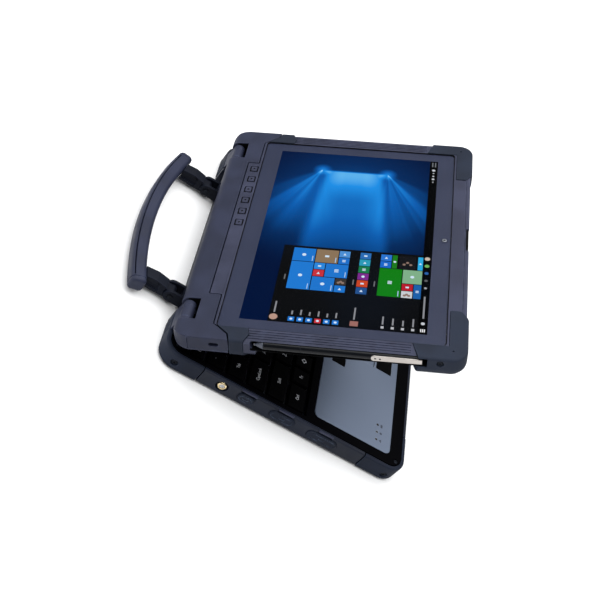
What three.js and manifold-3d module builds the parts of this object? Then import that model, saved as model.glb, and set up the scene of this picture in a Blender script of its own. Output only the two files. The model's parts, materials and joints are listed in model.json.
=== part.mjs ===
// Rugged field data collector: a 10.1 inch tablet in a hinged keyboard dock with a carrying handle.
// Units are millimetres. +X is the user's right, +Y points back to the hinge and handle, +Z is up.
// The origin is the centre of the display's width on the flat underside of the keyboard base.

import * as THREE from 'three';
import { mergeVertices } from 'three/addons/utils/BufferGeometryUtils.js';
import Module from 'manifold-3d';

const wasm = await Module();
wasm.setup();

// ---------------------------------------------------------------- driving dimensions

const GAP = 0.3; // running gap between neighbouring pieces
const OPEN_ANGLE = THREE.MathUtils.degToRad(33); // lid opening in the modelled pose
const FAR = 400; // reach of a cutting block beyond the part
const DISPLAY = { width: 217.6, length: 136 }; // 10.1 inch, 16:10
const KEY_PITCH = { x: 17.4, y: 17.6 };
const HALF_WIDTH = 134;

const base = {
  front: -122, rear: 92.5, height: 16, corner: 15, chamfer: 1.2,
  floor: 2, wall: 6, rim: 3.3, rimTop: 15.6, seat: 12.5, deckBottom: 12.8,
};
const baseBumper = { thickness: 3.2, sideRear: 58, sideFront: -86, across: 96 };
const recess = { half: 91.5, front: 87.2, wall: 2.6 };
const foot = { halfLength: 100, width: 8, recess: 0.8, drop: 1.5, inset: 10 };
const keyboard = {
  rowOne: -20, capHeight: 3.4, capBottom: 12, webBottom: 11, capGap: 2.2, taper: 1.2, webDepth: 13,
  functionDepth: 10.5, plateBottom: 8.6, plateTop: 9.3,
};
const palm = { rear: -36.2, front: -107, halfWidth: 121.8, corner: 5, bottom: 14.9, top: 16.2 };
const padBars = [
  { name: 'touchpad_button_rear', rear: -44, front: -56.5, halfWidth: 57.6 },
  { name: 'touchpad_button_front', rear: -86, front: -101, halfWidth: 39.5 },
];
const touchpad = { rear: -58.5, front: -84, halfWidth: 39.5 };
const portCovers = [
  { name: 'port_cover_rear', rear: 25.3, front: 11.5 },
  { name: 'port_cover_middle', rear: -2.9, front: -24.6 },
  { name: 'port_cover_front', rear: -36.5, front: -62.9 },
];
const port = { height: 9, centre: 8, flange: 2.2, proud: 0.3, plug: 2, plugInset: 1.6 };
const antenna = { y: 39, z: 8, recess: 5.2, barrel: 3.6, nut: 4.8 };

const hinge = { y: 86.45, z: 27.6, radius: 6.5, pin: 2.5, inner: 92.4, outer: 114.6, pinInner: 84, pinOuter: 124 };
const knuckle = { inner: 93, outer: 114, radius: 6.2, front: 80.2 };

const handle = {
  pivotY: 98.4, pivotZ: 8, inner: 62, outer: 76, pin: 2, earRadius: 5.5, earThickness: 2.6,
  armHalfHeight: 5, bodyStart: 6.2,
};
const grip = { sagitta: 12.2, halfChord: 84, mid: 137.7, width: 12.4, bottom: 3, top: 17, round: 2.5 };

// The lid's own frame has its origin on the hinge axis. Distances named "along" run from the axis
// towards the lid's free edge, and heights are measured out of the screen.
const GLASS_TOP = 6.4;
const DISPLAY_CENTRE = 107.5;
const dock = {
  shellTop: 6.8, shellBottom: -6.3, ledgeTop: -7.9, ledgeBottom: -10.8, ledgeReach: 30, ledgeHalf: 117,
  front: 12.9, frontHalf: 86, shoulder: 22.3, shoulderHalf: 117.5, elbow: 127.2, armReach: 35.8, split: 0.15,
};
const latch = { half: 8, travel: 5, from: 16, to: 23 };
const connector = { half: 12, depth: 4, halfHeight: 3, reach: 1.4 };
const tablet = {
  freeEdge: DISPLAY_CENTRE + 96, sideTop: GLASS_TOP, seam: -4.6, back: -11, backInset: 10, backChamfer: 6,
  slopeStart: 120, slopeDrop: 2, halfWidth: 133.7,
};
const glass = { halfWidth: 119.4, corner: 3, start: DISPLAY_CENTRE - 82.6, end: DISPLAY_CENTRE + 82, thickness: 1.1 };
const bezelWindow = { halfWidth: 112, halfLength: 71.5 };
const cavity = { halfWidth: 114.5, start: 25, end: DISPLAY_CENTRE + 79, frameTop: 3.6, floor: -9.2 };
const freeBumper = {
  side: 119.6, sideStart: DISPLAY_CENTRE + 58.3, bandStart: DISPLAY_CENTRE + 84, bandHalf: 82.6,
  edge: DISPLAY_CENTRE + 97.5, corner: 12, top: GLASS_TOP + 0.6,
};
const button = { first: 77, pitch: 15, count: 6, width: 8, depth: 6.5, along: 19.7, top: 6.7, bottom: 3.9 };
const portRecess = { x0: -12, x1: 20, depth: 2.5, bottom: -3, top: 4.5 };
const webcam = { along: DISPLAY_CENTRE + 76.8, hole: 2.6, radius: 2.3, thickness: 0.8 };
const penChannel = { start: DISPLAY_CENTRE - 56, end: DISPLAY_CENTRE + 69.5, bottom: -2.2, top: 5.3, inner: 126.2 };
const pen = { radius: 3.3, x: -130.2, z: 1.5, tipLength: 7, start: DISPLAY_CENTRE - 53.5, end: DISPLAY_CENTRE + 66 };

// ---------------------------------------------------------------- finishes

const finishes = {
  casing: { color: 0x40465a, roughness: 0.62, metalness: 0.05 },
  trim: { color: 0x4a4f66, roughness: 0.55, metalness: 0.05 },
  rubber: { color: 0x2f3a48, roughness: 0.85, metalness: 0 },
  deck: { color: 0x0b0d12, roughness: 0.4, metalness: 0 },
  key: { color: 0x0a0b0e, roughness: 0.55, metalness: 0 },
  palm: { color: 0x6a7489, roughness: 0.35, metalness: 0.6 },
  glass: { color: 0x101830, roughness: 0.08, metalness: 0 },
  panel: { color: 0x1b4f9c, roughness: 0.3, metalness: 0 },
  steel: { color: 0x8c9096, roughness: 0.35, metalness: 1 },
  gold: { color: 0xd0a850, roughness: 0.25, metalness: 1 },
  board: { color: 0x1d4a33, roughness: 0.6, metalness: 0 },
  battery: { color: 0x22252b, roughness: 0.7, metalness: 0 },
  pen: { color: 0x0d0e12, roughness: 0.15, metalness: 0.1 },
};

// ---------------------------------------------------------------- geometry helpers

function solidOf(geometry) {
  const bare = geometry.clone();
  bare.deleteAttribute('normal');
  bare.deleteAttribute('uv');
  const merged = mergeVertices(bare, 1e-4);
  const vertProperties = new Float32Array(merged.attributes.position.array);
  const triVerts = new Uint32Array(merged.index.array);
  return new wasm.Manifold(new wasm.Mesh({ numProp: 3, vertProperties, triVerts }));
}

function geometryOf(solid) {
  const mesh = solid.getMesh();
  const geometry = new THREE.BufferGeometry();
  geometry.setAttribute('position', new THREE.BufferAttribute(mesh.vertProperties, 3));
  geometry.setIndex(new THREE.BufferAttribute(mesh.triVerts, 1));
  geometry.computeVertexNormals();
  return geometry;
}

function block(x0, x1, y0, y1, z0, z1) {
  const geometry = new THREE.BoxGeometry(x1 - x0, y1 - y0, z1 - z0);
  geometry.translate((x0 + x1) / 2, (y0 + y1) / 2, (z0 + z1) / 2);
  return solidOf(geometry);
}

// A block given from the hinge axis along the lid: "from" and "to" are distances along it.
function lidBlock(x0, x1, from, to, z0, z1) {
  return block(x0, x1, -to, -from, z0, z1);
}

function roundedRect(x0, x1, y0, y1, radius) {
  const shape = new THREE.Shape();
  shape.absarc(x1 - radius, y0 + radius, radius, -Math.PI / 2, 0);
  shape.absarc(x1 - radius, y1 - radius, radius, 0, Math.PI / 2);
  shape.absarc(x0 + radius, y1 - radius, radius, Math.PI / 2, Math.PI);
  shape.absarc(x0 + radius, y0 + radius, radius, Math.PI, 1.5 * Math.PI);
  return shape;
}

function polygon(points) {
  return new THREE.Shape(points.map(([x, y]) => new THREE.Vector2(x, y)));
}

// A closed outline whose corners [x, y, radius] are rounded by a curve that starts "radius" before them.
function softPolygon(points) {
  const shape = new THREE.Shape();
  points.forEach(([x, y, radius = 0], i) => {
    const corner = new THREE.Vector2(x, y);
    const [px, py] = points[(i + points.length - 1) % points.length];
    const [nx, ny] = points[(i + 1) % points.length];
    const before = new THREE.Vector2(px, py).sub(corner).setLength(radius).add(corner);
    const after = new THREE.Vector2(nx, ny).sub(corner).setLength(radius).add(corner);
    if (i === 0) shape.moveTo(before.x, before.y);
    else shape.lineTo(before.x, before.y);
    if (radius > 0) shape.quadraticCurveTo(x, y, after.x, after.y);
  });
  shape.closePath();
  return shape;
}

function plate(shape, z0, z1, bevel = 0, curveSegments = 4) {
  const geometry = new THREE.ExtrudeGeometry(shape, {
    depth: z1 - z0 - 2 * bevel,
    bevelEnabled: bevel > 0,
    bevelThickness: bevel,
    bevelSize: bevel,
    bevelOffset: -bevel,
    bevelSegments: 1,
    curveSegments,
  });
  geometry.translate(0, 0, z0 + bevel);
  return solidOf(geometry);
}

// An outline in the YZ plane, carried along X.
function prismX(shape, x0, x1, curveSegments = 6) {
  const geometry = new THREE.ExtrudeGeometry(shape, { depth: x1 - x0, bevelEnabled: false, curveSegments });
  const axes = new THREE.Matrix4().makeBasis(
    new THREE.Vector3(0, 1, 0), new THREE.Vector3(0, 0, 1), new THREE.Vector3(1, 0, 0));
  geometry.applyMatrix4(axes);
  geometry.translate(x0, 0, 0);
  return solidOf(geometry);
}

// An outline in the XZ plane, carried along Y.
function prismY(shape, y0, y1, curveSegments = 6) {
  const geometry = new THREE.ExtrudeGeometry(shape, { depth: y1 - y0, bevelEnabled: false, curveSegments });
  const axes = new THREE.Matrix4().makeBasis(
    new THREE.Vector3(1, 0, 0), new THREE.Vector3(0, 0, 1), new THREE.Vector3(0, -1, 0));
  geometry.applyMatrix4(axes);
  geometry.translate(0, y1, 0);
  return solidOf(geometry);
}

function rodX(radius, x0, x1, y, z, segments = 20) {
  const geometry = new THREE.CylinderGeometry(radius, radius, x1 - x0, segments);
  geometry.rotateZ(Math.PI / 2);
  geometry.translate((x0 + x1) / 2, y, z);
  return solidOf(geometry);
}

function rodY(radiusFront, radiusRear, x, y0, y1, z, segments = 16) {
  const geometry = new THREE.CylinderGeometry(radiusRear, radiusFront, y1 - y0, segments);
  geometry.translate(x, (y0 + y1) / 2, z);
  return solidOf(geometry);
}

// A round disc on the lid's centre line, facing out of the screen.
function discZ(radius, along, z0, z1, segments = 20) {
  const geometry = new THREE.CylinderGeometry(radius, radius, z1 - z0, segments);
  geometry.rotateX(Math.PI / 2);
  geometry.translate(0, -along, (z0 + z1) / 2);
  return solidOf(geometry);
}

function join(first, ...others) {
  return others.reduce((sum, solid) => sum.add(solid), first);
}

function cut(first, ...others) {
  return others.reduce((rest, solid) => rest.subtract(solid), first);
}

function part(name, solid, finish) {
  const mesh = new THREE.Mesh(geometryOf(solid), new THREE.MeshStandardMaterial(finishes[finish]));
  mesh.name = name;
  return mesh;
}

// The same range of |x| on the left or right: side is -1 or 1.
function sided(side, inner, outer) {
  return side < 0 ? [-outer, -inner] : [inner, outer];
}

const SIDES = [['left', -1], ['right', 1]];

// ---------------------------------------------------------------- keyboard base

function baseOutline(inset) {
  const radius = Math.max(base.corner - inset, 1);
  return roundedRect(-HALF_WIDTH + inset, HALF_WIDTH - inset, base.front + inset, base.rear - inset, radius);
}

function baseCorner(side, end, clearance) {
  const [x0, x1] = sided(side, baseBumper.across - clearance, FAR);
  const rear = block(x0, x1, baseBumper.sideRear - clearance, FAR, -1, FAR);
  const front = block(x0, x1, -FAR, baseBumper.sideFront + clearance, -1, FAR);
  return end === 'rear' ? rear : front;
}

function baseBumperSolid(side, end) {
  const ring = cut(plate(baseOutline(0), 0, base.rimTop, base.chamfer), plate(baseOutline(baseBumper.thickness), -1, FAR));
  return ring.intersect(baseCorner(side, end, 0));
}

function portOutline(cover, inset) {
  const half = port.height / 2 - inset;
  return roundedRect(cover.front + inset, cover.rear - inset, port.centre - half, port.centre + half, half - 0.01);
}

function footSolid(y, clearance, top) {
  const half = foot.width / 2 + clearance;
  const length = foot.halfLength + clearance;
  return plate(roundedRect(-length, length, y - half, y + half, half - 0.01), -foot.drop, top);
}

const FOOT_ROWS = [['front_foot', base.front + foot.inset], ['rear_foot', base.rear - foot.inset - foot.width]];

// The space between the rear bumpers that the handle's forks stand in.
function rearRecess(extra) {
  return block(-recess.half - extra, recess.half + extra, recess.front - extra, FAR, -1, FAR);
}

function baseBottomCover() {
  const body = cut(plate(baseOutline(0), 0, base.rimTop, base.chamfer), rearRecess(0));
  const deckSeat = cut(plate(baseOutline(base.rim), base.seat, FAR), rearRecess(recess.wall));
  const hollow = cut(plate(baseOutline(base.wall), base.floor, FAR), rearRecess(base.wall));
  const bumperBed = cut(plate(baseOutline(-1), -1, FAR), plate(baseOutline(baseBumper.thickness + GAP), -2, FAR));
  const corners = SIDES.flatMap(([, side]) => ['front', 'rear'].map((end) => baseCorner(side, end, GAP)));
  const beds = corners.map((corner) => bumperBed.intersect(corner));
  const windows = portCovers.map((cover) => prismX(portOutline(cover, -GAP), -FAR, -HALF_WIDTH + base.wall + 1));
  const socket = rodX(antenna.recess, -FAR, -HALF_WIDTH + base.wall + 1, antenna.y, antenna.z);
  const feet = FOOT_ROWS.map(([, y]) => footSolid(y, GAP, foot.recess));
  return cut(body, deckSeat, hollow, ...beds, ...windows, socket, ...feet);
}

function baseDeck() {
  const deck = cut(plate(baseOutline(base.rim + GAP), base.deckBottom, base.height), rearRecess(recess.wall + GAP));
  const keys = block(-keyWell.half, keyWell.half, keyWell.front, keyWell.rear, 0, FAR);
  const palmSeat = plate(palmOutline(GAP), palm.bottom - GAP, FAR);
  const wells = [...padBars, touchpad].map((bar) => padBlock(bar, -1, 0, FAR));
  return cut(deck, keys, palmSeat, ...wells);
}

// ---------------------------------------------------------------- keyboard

// Key widths in key units, from left to right; null is the place of the space bar.
const KEY_ROWS = [
  { name: 'key_row_space_left', row: 0, start: 0, keys: [1.5, 1, 1, 1.25] },
  { name: 'key_row_space_right', row: 0, start: 9.75, keys: [1.25, 1, 1, 1.5] },
  { name: 'key_row_shift', row: 1, start: 0, keys: [2.25, ...Array(10).fill(1), 2.25] },
  { name: 'key_row_home', row: 2, start: 0, keys: [1.75, ...Array(11).fill(1), 1.75] },
  { name: 'key_row_tab', row: 3, start: 0, keys: [1.5, ...Array(13).fill(1)] },
  { name: 'key_row_number', row: 4, start: 0, keys: [...Array(13).fill(1), 1.5] },
];
const KEY_UNITS = 14.5;
const FUNCTION_KEYS = 15;
const SPACE_BAR = { start: 4.75, width: 5 };
const keyLeft = (-KEY_UNITS / 2) * KEY_PITCH.x;
const functionRowY = keyboard.rowOne + 4.5 * KEY_PITCH.y + keyboard.functionDepth / 2 + keyboard.capGap / 2;
const keyWell = {
  half: -keyLeft + 0.8,
  front: keyboard.rowOne - KEY_PITCH.y / 2 - 0.8,
  rear: functionRowY + keyboard.functionDepth / 2 + 1.9,
};

// One keycap: a square-based frustum, narrower at the top.
function keyCap(x0, x1, y, depth) {
  const width = x1 - x0 - keyboard.capGap;
  const bottomScale = Math.SQRT1_2;
  const topScale = Math.SQRT1_2 * (1 - keyboard.taper / depth);
  const geometry = new THREE.CylinderGeometry(topScale, bottomScale, keyboard.capHeight, 4);
  geometry.rotateY(Math.PI / 4);
  geometry.rotateX(Math.PI / 2);
  geometry.scale(width, depth, 1);
  geometry.translate((x0 + x1) / 2, y, keyboard.capBottom + keyboard.capHeight / 2);
  return solidOf(geometry);
}

function keyRow(units, start, y, depth, unitWidth) {
  let left = keyLeft + start * unitWidth;
  const first = left;
  const caps = units.map((width) => {
    const cap = keyCap(left, left + width * unitWidth, y, depth);
    left += width * unitWidth;
    return cap;
  });
  const halfWeb = Math.min(keyboard.webDepth, depth - 2) / 2;
  const web = block(first + 2, left - 2, y - halfWeb, y + halfWeb, keyboard.webBottom, keyboard.capBottom + 0.2);
  return join(web, ...caps);
}

function keyboardParts() {
  const depth = KEY_PITCH.y - keyboard.capGap;
  const rowY = (row) => keyboard.rowOne + row * KEY_PITCH.y;
  const rows = KEY_ROWS.map(({ name, row, start, keys }) => (
    part(name, keyRow(keys, start, rowY(row), depth, KEY_PITCH.x), 'key')));
  const functionWidth = (KEY_UNITS * KEY_PITCH.x) / FUNCTION_KEYS;
  const functionRow = keyRow(Array(FUNCTION_KEYS).fill(1), 0, functionRowY, keyboard.functionDepth, functionWidth);
  const spaceBar = keyRow([SPACE_BAR.width], SPACE_BAR.start, rowY(0), depth, KEY_PITCH.x);
  const backplate = block(-keyWell.half, keyWell.half, keyWell.front, keyWell.rear,
    keyboard.plateBottom, keyboard.plateTop);
  return [
    ...rows,
    part('key_row_function', functionRow, 'key'),
    part('space_bar', spaceBar, 'key'),
    part('keyboard_backplate', backplate, 'steel'),
  ];
}

// ---------------------------------------------------------------- palm rest and touchpad

function palmOutline(clearance) {
  const half = palm.halfWidth + clearance;
  return roundedRect(-half, half, palm.front - clearance, palm.rear + clearance, palm.corner);
}

// A touchpad bar's block, shrunk by "inset" on every side.
function padBlock(bar, inset, z0, z1) {
  return block(-bar.halfWidth + inset, bar.halfWidth - inset, bar.front + inset, bar.rear - inset, z0, z1);
}

function palmParts() {
  const wells = [...padBars, touchpad].map((bar) => padBlock(bar, 0, 0, FAR));
  const rest = cut(plate(palmOutline(0), palm.bottom, palm.top), ...wells);
  const bars = padBars.map((bar) => part(bar.name, padBlock(bar, GAP, base.deckBottom, palm.top + 0.1), 'key'));
  const pad = padBlock(touchpad, GAP, palm.bottom - 1, palm.top - 0.4);
  return [part('palm_rest', rest, 'palm'), ...bars, part('touchpad', pad, 'palm')];
}

// ---------------------------------------------------------------- ports and inner parts of the base

function portCover(cover) {
  const outer = -HALF_WIDTH - port.proud;
  const flange = prismX(portOutline(cover, 0), outer, outer + port.flange, 4);
  const plug = prismX(portOutline(cover, port.plugInset), outer + 1, outer + port.flange + port.plug, 4);
  return join(flange, plug);
}

function antennaConnector() {
  const barrel = rodX(antenna.barrel, -HALF_WIDTH + 0.4, -HALF_WIDTH + base.wall + 0.6, antenna.y, antenna.z);
  const nut = rodX(antenna.nut, -HALF_WIDTH + 3.2, -HALF_WIDTH + 5, antenna.y, antenna.z, 6);
  return join(barrel, nut);
}

function innerBaseParts() {
  const inset = base.wall + 4;
  const half = HALF_WIDTH - inset;
  const rear = palm.rear - 4;
  const front = base.front + inset;
  const board = block(-half, -4, front, rear, base.floor + 1, base.floor + 2.6);
  const battery = block(4, half, front, rear, base.floor + GAP, base.floor + 9);
  return [part('base_board', board, 'board'), part('base_battery', battery, 'battery')];
}

// ---------------------------------------------------------------- hinge

function hingeMount(side) {
  const [x0, x1] = sided(side, knuckle.inner, knuckle.outer);
  const barrel = rodX(knuckle.radius, x0, x1, hinge.y, hinge.z, 24);
  const pedestal = block(x0, x1, knuckle.front, hinge.y + knuckle.radius - GAP, base.height + GAP, hinge.z);
  return cut(join(barrel, pedestal), rodX(hinge.pin + GAP, -FAR, FAR, hinge.y, hinge.z));
}

function hingePin(side) {
  const [x0, x1] = sided(side, hinge.pinInner, hinge.pinOuter);
  return rodX(hinge.pin, x0, x1, hinge.y, hinge.z);
}

// ---------------------------------------------------------------- handle

function gripRadius() {
  return (grip.halfChord ** 2 + grip.sagitta ** 2) / (2 * grip.sagitta);
}

// The grip's plan: two arcs about one centre, offset from the middle line, with slanted ends.
function gripOutline(offset) {
  const radius = gripRadius();
  const centreY = grip.mid - radius;
  const halfAngle = Math.asin(grip.halfChord / radius);
  const half = grip.width / 2 + offset;
  const shape = new THREE.Shape();
  shape.absarc(0, centreY, radius + half, Math.PI / 2 - halfAngle, Math.PI / 2 + halfAngle);
  shape.absarc(0, centreY, radius - half, Math.PI / 2 + halfAngle, Math.PI / 2 - halfAngle, true);
  shape.closePath();
  return shape;
}

function handleMount(side) {
  const [x0, x1] = sided(side, handle.inner, handle.outer);
  const root = block(x0, x1, recess.front + GAP, recess.front + 3, 2.5, handle.pivotZ + handle.earRadius);
  const ears = [[x0, x0 + handle.earThickness], [x1 - handle.earThickness, x1]].map(([a, b]) => join(
    block(a, b, recess.front + 1, handle.pivotY, handle.pivotZ - handle.earRadius, handle.pivotZ + handle.earRadius),
    rodX(handle.earRadius, a, b, handle.pivotY, handle.pivotZ)));
  return cut(join(root, ...ears), rodX(handle.pin + GAP, -FAR, FAR, handle.pivotY, handle.pivotZ));
}

function handleArm(side) {
  const [x0, x1] = sided(side, handle.inner + 0.3, handle.outer - 0.3);
  const [t0, t1] = sided(side, handle.inner + handle.earThickness + GAP, handle.outer - handle.earThickness - GAP);
  const low = handle.pivotZ - handle.armHalfHeight;
  const high = handle.pivotZ + handle.armHalfHeight;
  const eye = rodX(3.4, t0, t1, handle.pivotY, handle.pivotZ);
  const tongue = block(t0, t1, handle.pivotY, handle.pivotY + handle.bodyStart + 1, low + 2, high - 2);
  const profile = softPolygon([
    [handle.pivotY + handle.bodyStart, low, 1.5],
    [grip.mid, low - 1, 0],
    [grip.mid, high + 3, 0],
    [handle.pivotY + handle.bodyStart + 8, high + 2, 2],
    [handle.pivotY + handle.bodyStart, high, 1.5],
  ]);
  const body = prismX(profile, x0, x1, 2);
  const gripSpace = plate(gripOutline(GAP), -FAR, FAR, 0, 10);
  const beyond = block(-FAR, FAR, grip.mid - 6, FAR, -FAR, FAR);
  const pinHole = rodX(handle.pin + GAP, -FAR, FAR, handle.pivotY, handle.pivotZ);
  return cut(join(eye, tongue, body), gripSpace, beyond, pinHole);
}

function handlePin(side) {
  const [x0, x1] = sided(side, handle.inner - 0.5, handle.outer + 0.5);
  return rodX(handle.pin, x0, x1, handle.pivotY, handle.pivotZ, 16);
}

// ---------------------------------------------------------------- dock

// Half of the dock's outline on its tablet side, as [x, along], grown towards the tablet by "grow".
function dockFace(grow) {
  return [
    [dock.frontHalf - grow, dock.front + grow, 0],
    [dock.frontHalf - grow, dock.shoulder + grow, 0],
    [dock.shoulderHalf, dock.shoulder + grow, 2],
    [dock.shoulderHalf + 3.5 - grow, dock.shoulder + 4.5 + grow, 1],
    [dock.elbow - grow, dock.armReach - 2 + grow, 2],
    [HALF_WIDTH + grow, dock.armReach + grow, 0],
  ];
}

// A whole outline from its right half, which is mirrored about the middle.
function mirroredOutline(half) {
  const right = half.map(([x, along, radius]) => [x, -along, radius]);
  const left = [...right].reverse().map(([x, y, radius]) => [-x, y, radius]);
  return softPolygon([...left, ...right]);
}

function dockOutline() {
  return mirroredOutline([
    ...dockFace(0).slice(0, 5),
    [HALF_WIDTH - 0.3, dock.armReach, 0],
    [HALF_WIDTH - 0.3, -hinge.radius, 16],
    [0.01, -hinge.radius, 0],
  ]);
}

// The dock's cross-section: a barrel round the hinge axis, and a slab that runs from it to the arms' ends.
function dockProfile(top, bottom) {
  const reach = -dock.armReach - 1;
  const shape = new THREE.Shape();
  shape.moveTo(reach, bottom);
  shape.lineTo(0, bottom);
  shape.absarc(0, 0, hinge.radius, -Math.PI / 2, Math.PI / 2);
  shape.lineTo(-2, top);
  shape.lineTo(reach, top);
  shape.closePath();
  return shape;
}

function dockKnuckleNotches() {
  return SIDES.map(([, side]) => {
    const [x0, x1] = sided(side, hinge.inner, hinge.outer);
    return lidBlock(x0, x1, -FAR, hinge.radius + 0.4, -FAR, FAR);
  });
}

function dockPlanSolid() {
  const slab = prismX(dockProfile(dock.shellTop, dock.shellBottom), -HALF_WIDTH, HALF_WIDTH);
  return slab.intersect(plate(dockOutline(), -FAR, FAR));
}

function dockUpperShell() {
  const half = dockPlanSolid().intersect(block(-FAR, FAR, -FAR, FAR, dock.split, FAR));
  const hollow = lidBlock(-dock.frontHalf + 4, dock.frontHalf - 4, 0, dock.front - 3, -1, dock.shellTop - 2.2);
  const bore = rodX(hinge.pin + GAP, -FAR, FAR, 0, 0);
  return cut(half, ...dockKnuckleNotches(), hollow, bore, connectorSeat());
}

// The seat of the contact block that charges the tablet, in the wall that faces it.
function connectorSeat() {
  const c = connector;
  return lidBlock(-c.half, c.half, dock.front - c.depth, dock.front + 1, -c.halfHeight, c.halfHeight);
}

function dockLowerShell() {
  const half = dockPlanSolid().intersect(block(-FAR, FAR, -FAR, FAR, -FAR, -dock.split));
  const ledgeShape = polygon([
    [6, dock.shellBottom + 2], [-2, dock.ledgeBottom + 1], [-4, dock.ledgeBottom],
    [-dock.ledgeReach, dock.ledgeBottom], [-dock.ledgeReach, dock.ledgeTop],
    [-dock.front, dock.ledgeTop], [-dock.front, -dock.split - 1], [0, -dock.split - 1],
  ]);
  const ledge = prismX(ledgeShape, -dock.ledgeHalf, dock.ledgeHalf);
  const barrelGuard = rodX(hinge.radius + 4.9, -FAR, FAR, 0, 0, 32);
  const ledgeNearAxis = ledge.intersect(barrelGuard.add(lidBlock(-FAR, FAR, 3.9, FAR, -FAR, FAR)));
  const hollow = lidBlock(-dock.frontHalf + 4, dock.frontHalf - 4, 0, dock.front - 3, dock.shellBottom + 2, 1);
  const bore = rodX(hinge.pin + GAP, -FAR, FAR, 0, 0);
  const latchWindow = lidBlock(-latch.half - latch.travel - GAP, latch.half + GAP, latch.from - GAP,
    latch.to + GAP, -FAR, dock.ledgeTop + 1);
  return cut(join(half, ledgeNearAxis), ...dockKnuckleNotches(), hollow, bore, connectorSeat(), latchWindow);
}

function dockLatch() {
  return lidBlock(-latch.half, latch.half, latch.from, latch.to, dock.ledgeBottom + 0.1, dock.ledgeTop - 0.1);
}

function dockConnector() {
  const c = connector;
  const half = c.half - GAP;
  const halfHeight = c.halfHeight - GAP;
  return lidBlock(-half, half, dock.front - c.depth + GAP, dock.front + c.reach, -halfHeight, halfHeight);
}

// ---------------------------------------------------------------- tablet

function tabletOutline() {
  return mirroredOutline([
    [0.01, dock.front + 0.4, 0],
    ...dockFace(0.4).slice(0, 5),
    [tablet.halfWidth, dock.armReach + 0.4, 0],
    [tablet.halfWidth, tablet.freeEdge, 10],
    [0.01, tablet.freeEdge, 0],
  ].reverse());
}

function freeBumperOutline(side, grow) {
  const b = freeBumper;
  const points = [
    [b.side - grow, b.sideStart - grow, 0],
    [b.side - grow, b.bandStart - grow, 0],
    [b.bandHalf - grow, b.bandStart - grow, 0],
    [b.bandHalf - grow, b.bandStart + 8, 2],
    [b.bandHalf + 8 - grow, b.edge + grow, 2],
    [HALF_WIDTH + grow, b.edge + grow, b.corner],
    [HALF_WIDTH + grow, b.sideStart + 5 - grow, 0],
  ];
  return softPolygon(points.map(([x, along, radius]) => [side * x, -along, radius]));
}

function dockBumperOutline(side, grow) {
  const start = DISPLAY_CENTRE - 59.4;
  const points = [
    [freeBumper.side - grow, dock.shoulder + 3.8 - 3 * grow, 0],
    [dock.elbow - 0.2, dock.armReach - 1.4 - 3 * grow, 0],
    [HALF_WIDTH + grow, dock.armReach + 0.4 - 3 * grow, 0],
    [HALF_WIDTH + grow, start - 1.8 + grow, 0],
    [125.5, start + 1.8 + grow, 0],
    [freeBumper.side - grow, start + grow, 0],
  ];
  return softPolygon(points.map(([x, along, radius]) => [side * x, -along, radius]));
}

// The tablet's envelope: flat front, sloping side trims, upright sides and a chamfered back.
function tabletEnvelope() {
  const w = tablet.halfWidth;
  const t = tablet;
  const across = polygon([
    [-w + t.backInset, t.back], [w - t.backInset, t.back], [w, t.back + t.backChamfer],
    [w, t.sideTop - t.slopeDrop], [t.slopeStart, t.sideTop], [-t.slopeStart, t.sideTop],
    [-w, t.sideTop - t.slopeDrop], [-w, t.back + t.backChamfer],
  ]);
  const lengthwise = polygon([
    [-t.freeEdge + t.backInset, t.back], [-dock.front, t.back], [-dock.front, t.sideTop],
    [-t.freeEdge + 1, t.sideTop], [-t.freeEdge, t.sideTop - 1], [-t.freeEdge, t.back + t.backChamfer],
  ]);
  const envelope = prismY(across, -t.freeEdge, 0).intersect(prismX(lengthwise, -w, w));
  return envelope.intersect(plate(tabletOutline(), -FAR, FAR));
}

function bumperSpaces(grow) {
  return SIDES.flatMap(([, side]) => [
    plate(freeBumperOutline(side, grow), -FAR, FAR),
    plate(dockBumperOutline(side, grow), -FAR, FAR),
  ]);
}

function penSpace() {
  return lidBlock(-FAR, -penChannel.inner, penChannel.start, penChannel.end, penChannel.bottom, penChannel.top);
}

function buttonX(index) {
  return button.first - index * button.pitch;
}

function tabletFrontFrame() {
  const body = tabletEnvelope().intersect(block(-FAR, FAR, -FAR, FAR, tablet.seam + GAP / 2, FAR));
  const hollow = lidBlock(-cavity.halfWidth, cavity.halfWidth, cavity.start, cavity.end, -FAR, cavity.frameTop);
  const buttonHollow = lidBlock(-dock.frontHalf + 3, dock.frontHalf - 3, dock.front + 2.4, cavity.start + 1,
    -FAR, cavity.frameTop);
  const glassSeat = plate(glassOutline(GAP), GLASS_TOP - glass.thickness - GAP, FAR);
  const window = lidBlock(-bezelWindow.halfWidth, bezelWindow.halfWidth, DISPLAY_CENTRE - bezelWindow.halfLength,
    DISPLAY_CENTRE + bezelWindow.halfLength, 0, FAR);
  const buttonHoles = Array.from({ length: button.count }, (_, i) => buttonBlock(buttonX(i), GAP, 0, FAR));
  const dockPocket = lidBlock(-connector.half - 1, connector.half + 1, dock.front, dock.front + 2, -3.4, 3.4);
  const portNotch = lidBlock(portRecess.x0, portRecess.x1, tablet.freeEdge - portRecess.depth, FAR,
    portRecess.bottom, portRecess.top);
  return cut(body, hollow, buttonHollow, glassSeat, window, ...buttonHoles, ...bumperSpaces(GAP), penSpace(),
    dockPocket, portNotch);
}

function tabletBackCover() {
  const body = tabletEnvelope().intersect(block(-FAR, FAR, -FAR, FAR, -FAR, tablet.seam - GAP / 2));
  const hollow = lidBlock(-cavity.halfWidth, cavity.halfWidth, dock.ledgeReach + 4, cavity.end, cavity.floor, FAR);
  const ledgeSpace = lidBlock(-dock.ledgeHalf - GAP, dock.ledgeHalf + GAP, 0, dock.ledgeReach + GAP,
    -FAR, dock.ledgeTop + GAP);
  return cut(body, hollow, ledgeSpace, ...bumperSpaces(GAP));
}

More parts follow.
